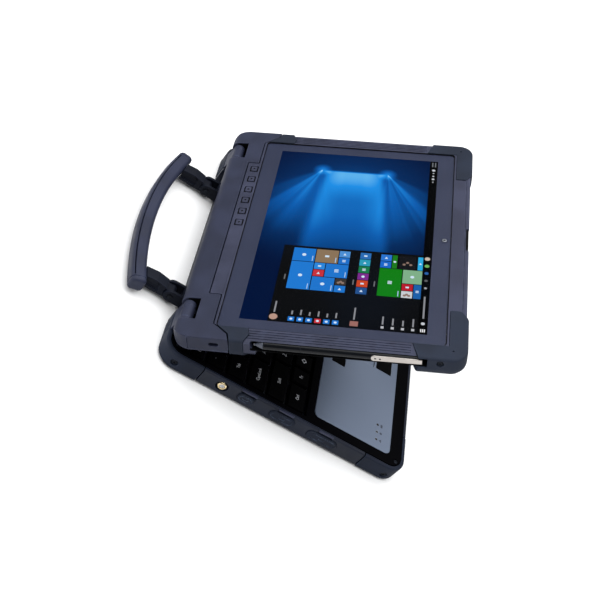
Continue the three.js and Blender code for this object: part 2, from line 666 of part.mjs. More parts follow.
function glassOutline(clearance) {
  const half = glass.halfWidth + clearance;
  return roundedRect(-half, half, -glass.end - clearance, -glass.start + clearance, glass.corner);
}

function coverGlass() {
  const sheet = plate(glassOutline(0), GLASS_TOP - glass.thickness, GLASS_TOP);
  return cut(sheet, discZ(webcam.hole, webcam.along, GLASS_TOP - 2 * glass.thickness, GLASS_TOP + 1));
}

function webcamLens() {
  return discZ(webcam.radius, webcam.along, GLASS_TOP - glass.thickness, GLASS_TOP - glass.thickness + webcam.thickness);
}

function displayPanel() {
  const halfWidth = DISPLAY.width / 2 + 3;
  const halfLength = DISPLAY.length / 2 + 3.2;
  return lidBlock(-halfWidth, halfWidth, DISPLAY_CENTRE - halfLength, DISPLAY_CENTRE + halfLength,
    cavity.frameTop - 3.4, cavity.frameTop - GAP);
}

function tabletBoard() {
  return lidBlock(-105, 105, DISPLAY_CENTRE + 8, DISPLAY_CENTRE + 70, -2.6, -1);
}

function tabletBattery() {
  return lidBlock(-100, 100, DISPLAY_CENTRE - 66, DISPLAY_CENTRE + 2, cavity.floor + GAP, -1.5);
}

function buttonBlock(x, grow, z0, z1) {
  const halfWidth = button.width / 2 + grow;
  const halfDepth = button.depth / 2 + grow;
  return lidBlock(x - halfWidth, x + halfWidth, button.along - halfDepth, button.along + halfDepth, z0, z1);
}

function functionButton(index) {
  const cap = buttonBlock(buttonX(index), 0, button.bottom - 1, button.top);
  const flange = buttonBlock(buttonX(index), 0.9, 1.6, cavity.frameTop - GAP);
  return join(cap, flange);
}

function tabletBumper(outline) {
  const t = tablet;
  const w = HALF_WIDTH;
  const top = freeBumper.top;
  const across = polygon([
    [-w + t.backInset, t.back - 0.3], [w - t.backInset, t.back - 0.3], [w, t.back + t.backChamfer - 0.3],
    [w, top - t.slopeDrop - 0.6], [w - 7, top], [-w + 7, top], [-w, top - t.slopeDrop - 0.6],
    [-w, t.back + t.backChamfer - 0.3],
  ]);
  return prismY(across, -FAR, FAR).intersect(plate(outline, -FAR, FAR));
}

function freeCornerBumper(side) {
  const edge = freeBumper.edge;
  const lengthwise = polygon([
    [-edge + tablet.backInset, -FAR], [0, -FAR], [0, FAR], [-edge + 2, FAR], [-edge + 2, freeBumper.top],
    [-edge, freeBumper.top - 2], [-edge, tablet.back + tablet.backChamfer],
    [-edge + tablet.backInset, tablet.back - 0.3],
  ]);
  const bumper = tabletBumper(freeBumperOutline(side, 0)).intersect(prismX(lengthwise, -FAR, FAR));
  return cut(bumper, penSpace());
}

function dockCornerBumper(side) {
  return tabletBumper(dockBumperOutline(side, 0));
}

// ---------------------------------------------------------------- stylus

function stylus() {
  const tipEnd = pen.start + pen.tipLength;
  const barrel = rodY(pen.radius, pen.radius, pen.x, -pen.end, -tipEnd, pen.z);
  const tip = rodY(pen.radius, 1.1, pen.x, -tipEnd - 0.01, -pen.start, pen.z);
  return join(barrel, tip);
}

// ---------------------------------------------------------------- assembly

function baseParts() {
  const bumpers = ['front', 'rear'].flatMap((end) => SIDES.map(([word, side]) => (
    part(`base_bumper_${end}_${word}`, baseBumperSolid(side, end), 'rubber'))));
  const feet = FOOT_ROWS.map(([name, y]) => part(name, footSolid(y, 0, foot.recess - GAP), 'rubber'));
  const covers = portCovers.map((cover) => part(cover.name, portCover(cover), 'rubber'));
  return [
    part('base_bottom_cover', baseBottomCover(), 'trim'),
    part('base_deck', baseDeck(), 'deck'),
    part('antenna_connector', antennaConnector(), 'gold'),
    ...bumpers, ...feet, ...covers, ...keyboardParts(), ...palmParts(), ...innerBaseParts(),
  ];
}

function handleParts() {
  const pairs = SIDES.flatMap(([word, side]) => [
    part(`handle_mount_${word}`, handleMount(side), 'casing'),
    part(`handle_arm_${word}`, handleArm(side), 'casing'),
    part(`handle_pin_${word}`, handlePin(side), 'steel'),
  ]);
  return [...pairs, part('handle_grip', plate(gripOutline(0), grip.bottom, grip.top, grip.round, 12), 'casing')];
}

function hingeParts() {
  return SIDES.flatMap(([word, side]) => [
    part(`hinge_mount_${word}`, hingeMount(side), 'casing'),
    part(`hinge_pin_${word}`, hingePin(side), 'steel'),
  ]);
}

function tabletParts() {
  const bumpers = SIDES.flatMap(([word, side]) => [
    part(`tablet_bumper_top_${word}`, freeCornerBumper(side), 'rubber'),
    part(`tablet_bumper_dock_${word}`, dockCornerBumper(side), 'rubber'),
  ]);
  const buttons = Array.from({ length: button.count }, (_, i) => (
    part(`function_button_${i + 1}`, functionButton(i), 'trim')));
  return [
    part('tablet_front_frame', tabletFrontFrame(), 'trim'),
    part('tablet_back_cover', tabletBackCover(), 'casing'),
    part('cover_glass', coverGlass(), 'glass'),
    part('webcam_lens', webcamLens(), 'glass'),
    part('display_panel', displayPanel(), 'panel'),
    part('tablet_board', tabletBoard(), 'board'),
    part('tablet_battery', tabletBattery(), 'battery'),
    part('stylus', stylus(), 'pen'),
    ...bumpers, ...buttons,
  ];
}

function dockParts() {
  return [
    part('dock_upper_shell', dockUpperShell(), 'casing'),
    part('dock_lower_shell', dockLowerShell(), 'casing'),
    part('dock_connector', dockConnector(), 'gold'),
    part('dock_latch', dockLatch(), 'rubber'),
  ];
}

const lid = new THREE.Group();
lid.position.set(0, hinge.y, hinge.z);
lid.rotation.x = -OPEN_ANGLE;
lid.add(...dockParts(), ...tabletParts());

const group = new THREE.Group();
group.add(...baseParts(), ...hingeParts(), ...handleParts(), lid);

export default group;
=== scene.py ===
import json
import math

import bmesh
import bpy
from mathutils import Matrix, Vector


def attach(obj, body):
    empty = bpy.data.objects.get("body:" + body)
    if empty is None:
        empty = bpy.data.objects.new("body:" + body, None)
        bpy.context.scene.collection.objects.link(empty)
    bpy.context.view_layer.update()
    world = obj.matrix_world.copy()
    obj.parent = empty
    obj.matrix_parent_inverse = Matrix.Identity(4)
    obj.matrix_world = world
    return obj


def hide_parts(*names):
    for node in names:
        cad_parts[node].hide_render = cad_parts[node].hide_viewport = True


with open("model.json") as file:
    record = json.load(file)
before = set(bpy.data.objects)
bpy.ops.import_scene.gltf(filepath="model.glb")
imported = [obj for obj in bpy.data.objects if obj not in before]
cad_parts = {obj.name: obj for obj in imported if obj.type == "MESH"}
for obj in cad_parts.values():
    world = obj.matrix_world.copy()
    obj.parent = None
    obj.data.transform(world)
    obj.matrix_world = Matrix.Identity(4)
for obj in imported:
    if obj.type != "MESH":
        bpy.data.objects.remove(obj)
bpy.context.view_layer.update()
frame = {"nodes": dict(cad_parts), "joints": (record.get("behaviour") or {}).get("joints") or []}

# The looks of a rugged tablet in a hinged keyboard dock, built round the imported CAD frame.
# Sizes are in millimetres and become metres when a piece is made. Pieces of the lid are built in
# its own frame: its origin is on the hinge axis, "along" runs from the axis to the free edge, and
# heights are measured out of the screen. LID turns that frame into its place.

# ---------------------------------------------------------------- driving dimensions

MM = 0.001
GAP = 0.3  # the usual clearance between two parts
FAR = 400  # beyond every part
BELOW = -5  # under the base's feet
SIDES = (("left", -1), ("right", 1))

HALF_WIDTH = 134
BASE_FRONT, BASE_REAR, BASE_CORNER = -122, 92.5, 15
BASE_WALL, BASE_FLOOR, BASE_RIM = 6, 2, 3.3
RIM_TOP, DECK_SEAT, DECK_BOTTOM, DECK_TOP = 15.6, 12.5, 12.8, 16
BUMPER_THICKNESS, BUMPER_REAR, BUMPER_FRONT, BUMPER_ACROSS = 3.2, 58, -86, 96
RECESS_HALF, RECESS_Y, RECESS_WALL = 91.5, 87.2, 2.6
FOOT_ROWS = (("front_foot", -112), ("rear_foot", 74.5))
FOOT_HALF, FOOT_WIDTH, FOOT_DROP, FOOT_RECESS = 100, 8, 1.5, 0.8

KEY_PITCH_X, KEY_PITCH_Y, KEY_UNITS = 17.4, 17.6, 14.5
ROW_ONE_Y, KEY_GAP, FUNCTION_DEPTH = -20, 2.2, 10.5
WEB_BOTTOM, CAP_BOTTOM, CAP_TOP = 11, 12, 15.4
KEY_DEPTH = KEY_PITCH_Y - KEY_GAP
KEY_LEFT = -KEY_UNITS / 2 * KEY_PITCH_X
FUNCTION_Y = ROW_ONE_Y + 4.5 * KEY_PITCH_Y + FUNCTION_DEPTH / 2 + KEY_GAP / 2
WELL_HALF = -KEY_LEFT + 0.8
WELL_FRONT = ROW_ONE_Y - KEY_PITCH_Y / 2 - 0.8
WELL_REAR = FUNCTION_Y + FUNCTION_DEPTH / 2 + 1.9

PALM_REAR, PALM_FRONT, PALM_HALF, PALM_CORNER = -36.2, -107, 121.8, 5
PALM_BOTTOM, PALM_TOP = 14.9, 16.2
# Touchpad and its bars: rear edge, front edge and half width.
PAD_BARS = (("touchpad_button_rear", -44, -56.5, 57.6), ("touchpad_button_front", -86, -101, 39.5))
TOUCHPAD = (-58.5, -84, 39.5)
# Port covers: name, and where each starts and ends along the side wall.
PORTS = (
    ("port_cover_rear", 25.3, 11.5),
    ("port_cover_middle", -2.9, -24.6),
    ("port_cover_front", -36.5, -62.9),
)
PORT_HEIGHT, PORT_Z = 9, 8
ANTENNA_Y, ANTENNA_Z = 39, 8

KNUCKLE_INNER, KNUCKLE_OUTER, KNUCKLE_RADIUS = 93, 114, 4.8
NOTCH_INNER, NOTCH_OUTER, NOTCH_END, HINGE_RADIUS, HINGE_PIN, PIN_END = 92.4, 114.6, 8.6, 6.5, 2.5, 124.2

HANDLE_INNER, HANDLE_OUTER, HANDLE_Y, HANDLE_Z = 62, 76, 98.4, 8
EAR_RADIUS, EAR_THICKNESS, ARM_HALF = 5.5, 2.6, 5
GRIP_MID, GRIP_SAGITTA, GRIP_HALF_CHORD = 137.7, 12.2, 84
GRIP_WIDTH, GRIP_LOW, GRIP_HIGH = 12.4, 3, 17

GLASS_TOP, CENTRE = 6.4, 107.5
DOCK_TOP, DOCK_BOTTOM, LEDGE_TOP, LEDGE_BOTTOM = 6.8, -6.3, -7.9, -10.8
LEDGE_REACH, LEDGE_HALF = 30, 117
DOCK_FRONT, DOCK_FRONT_HALF, SHOULDER, SHOULDER_HALF = 12.9, 86, 22.3, 117.5
ELBOW, ARM_REACH = 127.2, 35.8
FREE_EDGE, SEAM, BACK, BACK_INSET, BACK_CHAMFER = CENTRE + 96, -4.6, -11, 10, 6
TABLET_HALF, SLOPE_START = 133.7, 120
GLASS_HALF, GLASS_CORNER, GLASS_START, GLASS_END, GLASS_THICK = 119.4, 3, CENTRE - 82.6, CENTRE + 82, 1.1
PICTURE_HALF, PICTURE_HALF_LENGTH = 108.8, 68
PEN_X, PEN_Z, PEN_RADIUS = -130.2, 1.5, 3.3
PEN_START, PEN_END = CENTRE - 53.5, CENTRE + 66
CHANNEL_START, CHANNEL_END = CENTRE - 56, CENTRE + 69.5
CHANNEL_LOW, CHANNEL_HIGH, CHANNEL_INNER = -2.2, 5.3, 126.2
BUTTON_FIRST, BUTTON_PITCH, BUTTON_COUNT, BUTTON_ALONG = 77, 15, 6, 19.7

JOINTS = {joint["name"]: joint for joint in frame["joints"]}
HINGE = Vector(JOINTS["lid_hinge"]["pos_m"])
LID = Matrix.Translation(HINGE) @ Matrix.Rotation(math.radians(JOINTS["lid_hinge"]["range_deg"][0]), 4, "X")


def frame_of(body):
    """The frame that a body's pieces are built in: the lid's, or the base's, which is the part's own."""
    on_lid = body in ("dock", "tablet", "latch", "stylus") or body.startswith("function_button")
    return LID if on_lid else Matrix.Identity(4)


# ---------------------------------------------------------------- outlines

WELD = 0.004  # points nearer than this are one point


def circle(x, y, radius, count=32):
    turns = [2 * math.pi * i / count for i in range(count)]
    return [(x + radius * math.cos(t), y + radius * math.sin(t)) for t in turns]


def soft(points, steps=6):
    """An outline whose corners (x, y, radius) are rounded by true arcs."""
    outline = []
    for i, (x, y, radius) in enumerate(points):
        corner = Vector((x, y))
        if not radius:
            outline.append(tuple(corner))
            continue
        back = (Vector(points[i - 1][:2]) - corner).normalized()
        on = (Vector(points[(i + 1) % len(points)][:2]) - corner).normalized()
        half = back.angle(on) / 2
        centre = corner + (back + on).normalized() * radius / math.sin(half)
        start = corner + back * radius / math.tan(half) - centre
        end = corner + on * radius / math.tan(half) - centre
        outline += [tuple(centre + start.slerp(end, k / steps) * radius) for k in range(steps + 1)]
    return [p for i, p in enumerate(outline) if math.dist(p, outline[i - 1]) > WELD]


def rect(x0, x1, y0, y1, radius=0, steps=6):
    return soft([(x0, y0, radius), (x1, y0, radius), (x1, y1, radius), (x0, y1, radius)], steps)


def inset(outline, distance):
    """The outline moved inwards by distance, or outwards where it is negative."""
    points = [Vector(p) for p in outline]
    area = sum(a.x * b.y - b.x * a.y for a, b in zip(points, points[1:] + points[:1]))
    turn = 1 if area > 0 else -1
    result = []
    for i, point in enumerate(points):
        before = (point - points[i - 1]).normalized()
        after = (points[(i + 1) % len(points)] - point).normalized()
        n1 = Vector((-before.y, before.x)) * turn
        n2 = Vector((-after.y, after.x)) * turn
        result.append(tuple(point + (n1 + n2) / (1 + n1.dot(n2)) * distance))
    return result


# ---------------------------------------------------------------- solids


def to_object(bm):
    mesh = bpy.data.meshes.new("shape")
    bmesh.ops.recalc_face_normals(bm, faces=bm.faces)
    bm.to_mesh(mesh)
    bm.free()
    shape = bpy.data.objects.new("shape", mesh)
    bpy.context.scene.collection.objects.link(shape)
    return shape


def loft(rings):
    """A solid through rings of points, with flat ends."""
    bm = bmesh.new()
    loops = [[bm.verts.new(point) for point in ring] for ring in rings]
    for near, far in zip(loops, loops[1:]):
        for i in range(len(near)):
            j = (i + 1) % len(near)
            bm.faces.new((near[i], near[j], far[j], far[i]))
    bm.faces.new(loops[0])
    bm.faces.new(loops[-1])
    return to_object(bm)


PLANES = {"Z": lambda a, b, c: (a, b, c), "X": lambda a, b, c: (c, a, b), "Y": lambda a, b, c: (a, c, b)}


def prism(outline, low, high, axis="Z"):
    """The outline carried along an axis. It lies in XY for Z, in YZ for X, and in XZ for Y."""
    put = PLANES[axis]
    return loft([[put(a, b, level) for a, b in outline] for level in (low, high)])


def plate(outline, low, high, top=0.0, bottom=0.0, axis="Z"):
    """A prism whose top and bottom edges are rounded by these radii."""
    put = PLANES[axis]
    turns = [math.pi / 8 * k for k in range(5)]
    levels = [(0, low), (0, high)]
    if bottom:
        levels[:1] = [(bottom * (1 - math.sin(t)), low + bottom * (1 - math.cos(t))) for t in turns]
    if top:
        levels[-1:] = [(top * (1 - math.cos(t)), high - top * (1 - math.sin(t))) for t in turns]
    return loft([[put(a, b, level) for a, b in inset(outline, depth)] for depth, level in levels])


def block(x0, x1, y0, y1, z0, z1):
    return prism(rect(x0, x1, y0, y1), z0, z1)


def along(x0, x1, start, end, z0, z1):
    """A block of the lid, from start to end along it."""
    return block(x0, x1, -end, -start, z0, z1)


def span(side, near, far):
    """Two distances from the middle as a low and a high x on one side."""
    return sorted((side * near, side * far))


def rod(radius, low, high, a, b, axis="X", count=32):
    return prism(circle(a, b, radius, count), low, high, axis)


def turned(profile, a, b, axis, count=32):
    """A turned solid: profile gives (radius, level) along an axis through (a, b)."""
    put = PLANES[axis]
    return loft([[put(u, v, level) for u, v in circle(a, b, radius, count)] for radius, level in profile])


def settle(shape):
    """Applies the shape's modifiers."""
    bpy.context.view_layer.update()
    graph = bpy.context.evaluated_depsgraph_get()
    mesh = bpy.data.meshes.new_from_object(shape.evaluated_get(graph))
    old = shape.data
    shape.modifiers.clear()
    shape.data = mesh
    bpy.data.meshes.remove(old)


def discard(shape):
    mesh = shape.data
    bpy.data.objects.remove(shape)
    bpy.data.meshes.remove(mesh)


def combine(operation, body, tools):
    for tool in tools:
        modifier = body.modifiers.new(operation, "BOOLEAN")
        modifier.operation = operation
        modifier.solver = "MANIFOLD"
        modifier.object = tool
    settle(body)
    for tool in tools:
        discard(tool)
    return body


def cut(body, *tools):
    return combine("DIFFERENCE", body, tools)


def join(body, *tools):
    return combine("UNION", body, tools)


def common(body, *tools):
    return combine("INTERSECT", body, tools)


def gather(*shapes):
    """One object of shapes that don't touch."""
    bm = bmesh.new()
    for shape in shapes:
        bm.from_mesh(shape.data)
        discard(shape)
    return to_object(bm)


# ---------------------------------------------------------------- pieces

FLAT = math.radians(0.6)  # faces that differ by less lie in one plane
SHARP = math.radians(32)  # edges sharper than this are bevelled
CREASE = math.radians(50)  # edges sharper than this stay hard after a bevel


def tidy(shape):
    """Joins points that meet and the faces that lie in one plane."""
    bm = bmesh.new()
    bm.from_mesh(shape.data)
    bmesh.ops.remove_doubles(bm, verts=bm.verts, dist=WELD)
    bmesh.ops.dissolve_degenerate(bm, edges=bm.edges, dist=WELD)
    bmesh.ops.dissolve_limit(bm, angle_limit=FLAT, verts=bm.verts, edges=bm.edges)
    bmesh.ops.triangulate(bm, faces=[f for f in bm.faces if len(f.verts) > 4], ngon_method="BEAUTY")
    bm.to_mesh(shape.data)
    bm.free()


def round_edges(shape, width):
    """Bevels the sharp edges and marks the new faces in the face attribute "edge"."""
    shape.data.materials.clear()
    for slot_name in ("face", "edge"):
        shape.data.materials.append(bpy.data.materials.get(slot_name) or bpy.data.materials.new(slot_name))
    shape.data.polygons.foreach_set("material_index", [0] * len(shape.data.polygons))
    bevel = shape.modifiers.new("bevel", "BEVEL")
    bevel.width = width
    bevel.segments = 2
    bevel.limit_method = "ANGLE"
    bevel.angle_limit = SHARP
    bevel.use_clamp_overlap = False
    bevel.miter_outer = "MITER_ARC"
    bevel.material = 1
    settle(shape)
    marks = [float(face.material_index == 1) for face in shape.data.polygons]
    shape.data.attributes.new("edge", "FLOAT", "FACE").data.foreach_set("value", marks)
    shape.data.polygons.foreach_set("material_index", [0] * len(marks))


def piece(name, shape, finish, body, nodes=(), bevel=0.25):
    """Makes a shape into a finished piece that rides on a body and stands for CAD nodes."""
    tidy(shape)
    if bevel:
        round_edges(shape, bevel)
    shape.data.transform(frame_of(body) @ Matrix.Scale(MM, 4))
    shape.data.polygons.foreach_set("use_smooth", [True] * len(shape.data.polygons))
    shape.data.set_sharp_from_angle(angle=CREASE if bevel else SHARP)
    weighted = shape.modifiers.new("normals", "WEIGHTED_NORMAL")
    weighted.keep_sharp = True
    weighted.weight = 100
    settle(shape)
    shape.data.materials.clear()
    shape.data.materials.append(finish)
    shape.name = shape.data.name = name
    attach(shape, body)
    if nodes:
        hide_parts(*nodes)
    return shape


def carry(finish, *nodes):
    """CAD nodes whose shape stays get a better finish."""
    for name in nodes:
        frame["nodes"][name].material_slots[0].material = finish


# ---------------------------------------------------------------- materials


def colour(code):
    """The linear colour of an sRGB hex code."""
    values = [int(code[i:i + 2], 16) / 255 for i in (0, 2, 4)]
    return (*[v / 12.92 if v <= 0.04045 else ((v + 0.055) / 1.055) ** 2.4 for v in values], 1)


class Finish:
    """A Principled material and its nodes."""

    def __init__(self, name, **sockets):
        self.material = bpy.data.materials.new(name)
        self.material.use_nodes = True
        self.tree = self.material.node_tree
        self.shader = self.tree.nodes["Principled BSDF"]
        for socket, value in sockets.items():
            self.set(socket.replace("_", " ").title().replace("Ior", "IOR"), value)

    def set(self, socket, value):
        self.wire(self.shader.inputs[socket], value)

    def wire(self, socket, value):
        if isinstance(value, bpy.types.NodeSocket):
            self.tree.links.new(value, socket)
        else:
            socket.default_value = value

    def node(self, kind, inputs=(), output=0, **settings):
        """Adds a node, sets it and returns one of its outputs."""
        made = self.tree.nodes.new("ShaderNode" + kind)
        for key, value in settings.items():
            setattr(made, key, value)
        for key, value in dict(inputs).items():
            self.wire(made.inputs[key], value)
        return made.outputs[output]

    def place(self):
        return self.node("TexCoord", output="Object")

    def stretched(self, x, y, z):
        return self.node("Mapping", {"Vector": self.place(), "Scale": (x, y, z)})

    def noise(self, size, detail=2.0, roughness=0.5, where=None):
        """Noise whose features are about size millimetres across."""
        inputs = {"Vector": where or self.place(), "Scale": 1 / (size * MM)}
        return self.node("TexNoise", {**inputs, "Detail": detail, "Roughness": roughness})

    def ramp(self, value, low, high, to_low=0.0, to_high=1.0):
        inputs = {0: value, 1: low, 2: high, 3: to_low, 4: to_high}
        return self.node("MapRange", inputs, interpolation_type="SMOOTHSTEP")

    def maths(self, operation, a, b=0.0):
        return self.node("Math", {0: a, 1: b}, operation=operation)

    def blend(self, factor, a, b):
        return self.node("Mix", {"Factor": factor, 6: a, 7: b}, output=2, data_type="RGBA")

    def bump(self, height, depth, strength=1.0, under=None):
        """A bump of this depth in millimetres."""
        inputs = {"Height": height, "Distance": depth * MM, "Strength": strength}
        if under is not None:
            inputs["Normal"] = under
        return self.node("Bump", inputs)

    def edge(self):
        return self.node("Attribute", output="Fac", attribute_name="edge")


CLOUDING = 0.12  # how much darker a moulding's darkest clouds are


def shades(base, dark, light):
    """A darker and a lighter shade of a colour."""
    darker, lighter = ([min(1, c * factor) for c in colour(base)[:3]] for factor in (dark, light))
    return (*darker, 1), (*lighter, 1)


def moulded(name, base, worn, roughness, grain, depth, wear=0.6, specular=0.5):
    """Moulded plastic or rubber: a fine grain, faint clouding in colour and gloss, and rubbed edges."""
    f = Finish(name, Specular_IOR_Level=specular)
    cloudy = f.noise(28, 3.0)
    dark, light = shades(base, 1 - CLOUDING, 1 + CLOUDING * 2)
    speckle = f.ramp(f.noise(0.9, 1.0), 0.35, 0.75)
    tone = f.blend(f.ramp(cloudy, 0.35, 0.65), dark, light)
    tone = f.blend(f.maths("MULTIPLY", speckle, 0.22), tone, light)
    rubbed = f.maths("MULTIPLY", f.edge(), f.ramp(f.noise(7, 4.0, 0.65), 0.38, 0.72, 0.15, wear))
    f.set("Base Color", f.blend(rubbed, tone, colour(worn)))
    gloss = f.ramp(f.noise(14, 4.0), 0.3, 0.7, roughness - 0.06, roughness + 0.06)
    f.set("Roughness", f.maths("SUBTRACT", gloss, f.maths("MULTIPLY", rubbed, 0.12)))
    pebble = f.noise(grain, 2.0, 0.6)
    f.set("Normal", f.bump(pebble, depth, 0.6, f.bump(f.noise(9, 2.0), 0.02, 0.3)))
    return f.material


def brushed(name, base, roughness, direction):
    """Metal with fine lines along one direction and a clouded gloss."""
    f = Finish(name, Metallic=1.0)
    lines = f.noise(0.35, 3.0, 0.6, f.stretched(*direction))
    broad = f.noise(20, 3.0)
    f.set("Base Color", f.blend(f.ramp(lines, 0.3, 0.7), *shades(base, 0.86, 1.12)))
    gloss = f.ramp(broad, 0.3, 0.7, roughness - 0.05, roughness + 0.05)
    f.set("Roughness", f.maths("ADD", gloss, f.maths("MULTIPLY", lines, 0.08)))
    f.set("Normal", f.bump(lines, 0.008, 0.5))
    return f.material


# Mouldings: base and rubbed colours, roughness, grain and its depth in mm, wear and specular level.
CASING = moulded("casing_plastic", "232739", "4a5068", 0.55, 0.5, 0.03, 0.6, 0.2)
TRIM = moulded("trim_plastic", "2d3042", "5a6078", 0.5, 0.4, 0.025, 0.6, 0.2)
SHELL = moulded("shell_plastic", "141a28", "3a4052", 0.5, 0.5, 0.03, 0.6, 0.2)
RUBBER = moulded("bumper_rubber", "1e2431", "3a4453", 0.7, 0.7, 0.05, 0.4, 0.15)
ARM = moulded("arm_plastic", "0c101b", "242c3e", 0.62, 0.7, 0.04, 0.3, 0.12)
GUARD = moulded("guard_rubber", "191f2d", "3c4656", 0.7, 0.7, 0.05, 0.5, 0.15)
COVER = moulded("cover_rubber", "171d2a", "566276", 0.66, 0.6, 0.04, 1.0, 0.15)
DECK = moulded("deck_plastic", "010103", "08090e", 0.5, 0.35, 0.01, 0.35, 0.02)
KEYS = moulded("key_plastic", "010102", "08090b", 0.55, 0.3, 0.015, 0.35, 0.03)
BLACK = moulded("black_plastic", "020203", "08090b", 0.6, 0.4, 0.02, 0.6, 0.1)
PEN_BLACK = moulded("pen_lacquer", "04060b", "1c222e", 0.2, 1.2, 0.003, 0.6, 0.2)
STYLUS_CONE = moulded("stylus_cone", "454955", "6a6f7c", 0.4, 0.4, 0.02, 0.3, 0.4)
BATTERY = moulded("battery_wrap", "23262c", "3a3e46", 0.55, 3.0, 0.05)
# Metals: colour, roughness, and how the lines are stretched.
STEEL = brushed("steel", "8a8e95", 0.34, (1, 8, 8))
SCREW = brushed("black_oxide_steel", "1e2127", 0.4, (1, 1, 8))
SILVER = brushed("pen_silver", "b4aea9", 0.34, (8, 1, 8))
GOLD = brushed("gold", "f2dcae", 0.2, (8, 1, 1))


def ink(name, low, high, roughness, detail, grain, depth):
    """Flat ink or paint, mottled between two colours; grain and its depth are in millimetres."""
    f = Finish(name, Roughness=roughness)
    f.set("Base Color", f.blend(f.ramp(f.noise(0.8, detail), 0.3, 0.7), colour(low), colour(high)))
    f.set("Normal", f.bump(f.noise(grain), depth))
    return f.material


def palm_finish():
    """Fine-blasted aluminium with a pale blue anodised tint."""
    f = Finish("palm_aluminium", Metallic=0.85)
    tone = f.blend(f.ramp(f.noise(120, 1.0), 0.3, 0.7), colour("6a7588"), colour("778295"))
    worn = f.maths("MULTIPLY", f.edge(), f.ramp(f.noise(6, 3.0), 0.35, 0.7, 0.2, 0.7))
    f.set("Base Color", f.blend(worn, tone, colour("dfe3ea")))
    f.set("Roughness", f.ramp(f.noise(40, 2.0), 0.3, 0.7, 0.36, 0.4))
    f.set("Normal", f.bump(f.noise(0.3, 2.0), 0.002, 0.3))
    return f.material


def bezel_finish():
    """Ink printed behind the cover glass."""
    f = Finish("bezel_ink", Roughness=0.42, Specular_IOR_Level=0.2)
    tone = f.blend(f.ramp(f.noise(60, 2.0), 0.3, 0.7), colour("23283b"), colour("282d41"))
    f.set("Base Color", f.blend(f.ramp(f.noise(0.6), 0.35, 0.7, 0.0, 0.3), tone, colour("2c3246")))
    f.set("Normal", f.bump(f.noise(0.5), 0.003, 0.4))
    return f.material


COATED_GLASS = 0.05  # how much of plain glass's mirror is left by the coating


def glass_finish():
    """Clear cover glass that mirrors more at a low angle, with a faint smear in its gloss."""
    f = Finish("cover_glass")
    f.tree.nodes.remove(f.shader)
    smear = f.ramp(f.noise(25, 3.0), 0.35, 0.7, 0.03, 0.09)
    clear = f.node("BsdfTransparent")
    mirror = f.node("BsdfGlossy", {"Roughness": smear})
    front = f.maths("SUBTRACT", 1.0, f.node("NewGeometry", output="Backfacing"))
    share = f.maths("MULTIPLY", f.node("Fresnel", {"IOR": 1.45}), f.maths("MULTIPLY", front, COATED_GLASS))
    shade = f.node("MixShader", {0: share, 1: clear, 2: mirror})
    f.tree.links.new(shade, f.tree.nodes["Material Output"].inputs["Surface"])
    return f.material


def picture_finish():
    """A plain wallpaper: a soft shaft of light with beams that fan out of its two upper corners.

    The surface's UV runs along the screen (u) and across it (v), in tenths of a metre.
    """
    f = Finish("display_picture", Roughness=0.08, Base_Color=(0, 0, 0, 1), Specular_IOR_Level=0.03)
    split = f.tree.nodes.new("ShaderNodeSeparateXYZ")
    f.tree.links.new(f.node("UVMap"), split.inputs[0])
    u, v = split.outputs[0], split.outputs[1]

    def distance(u0, v0):
        du, dv = f.maths("SUBTRACT", u, u0), f.maths("SUBTRACT", v, v0)
        return f.maths("POWER", f.maths("ADD", f.maths("MULTIPLY", du, du), f.maths("MULTIPLY", dv, dv)), 0.5)

    def beams(u0, v0, seed, lean):
        """Rays that fall from a point, mostly towards lean radians off straight down."""
        angle = f.maths("ARCTAN2", f.maths("SUBTRACT", u, u0), f.maths("SUBTRACT", v0, v))
        ray = f.node("TexNoise", {"W": f.maths("ADD", f.maths("MULTIPLY", angle, 4.5), seed), "Scale": 1.0,
                                  "Detail": 2.0}, noise_dimensions="1D")
        spread = f.ramp(f.maths("ABSOLUTE", f.maths("SUBTRACT", angle, lean)), 0.05, 0.75, 1.0, 0.0)
        reach = f.ramp(distance(u0, v0), 0.0, 1.3, 0.42, 0.0)
        return f.maths("MULTIPLY", f.maths("MULTIPLY", f.ramp(ray, 0.3, 0.7, 0.45, 1.0), spread), reach)

    width = f.ramp(v, -0.5, 0.86, 0.4, 0.285)
    across = f.maths("ABSOLUTE", f.maths("DIVIDE", f.maths("ADD", u, 0.018), width))
    shaft = f.maths("MULTIPLY", f.ramp(across, 0.72, 1.05, 1.0, 0.0), f.ramp(v, 0.825, 0.86, 1.0, 0.0))
    body = f.maths("MULTIPLY", f.ramp(v, -0.6, 0.6, 0.14, 0.34), f.ramp(across, 0.2, 0.85, 0.66, 1.0))
    glow = f.maths("MULTIPLY", f.ramp(v, 0.4, 0.84, 0.0, 0.36), f.ramp(across, 0.3, 0.95, 1.0, 0.3))
    core = f.maths("ADD", body, glow)
    light = f.maths("MULTIPLY", shaft, core)
    for corner, seed, lean in (((-0.295, 0.85), 3.0, -0.42), ((0.262, 0.84), 11.0, 0.42)):
        light = f.maths("ADD", light, beams(*corner, seed, lean))
        light = f.maths("ADD", light, f.ramp(distance(*corner), 0.0, 0.1, 0.42, 0.0))
    light = f.maths("ADD", light, f.ramp(distance(-0.02, 0.42), 0.1, 1.05, 0.26, 0.0))
    ramp = f.tree.nodes.new("ShaderNodeValToRGB")
    f.tree.links.new(light, ramp.inputs[0])
    stops = ((0.0, "001238"), (0.14, "022a5c"), (0.42, "0a5cae"),
             (0.68, "1e8fe6"), (0.9, "7fd0f6"), (1.0, "d8f3ff"))
    elements = ramp.color_ramp.elements
    for position, _ in stops[1:-1]:
        elements.new(position)
    for element, (position, code) in zip(elements, stops):
        element.position = position
        element.color = colour(code)
    f.set("Emission Color", ramp.outputs[0])
    f.set("Emission Strength", 1.0)
    return f.material


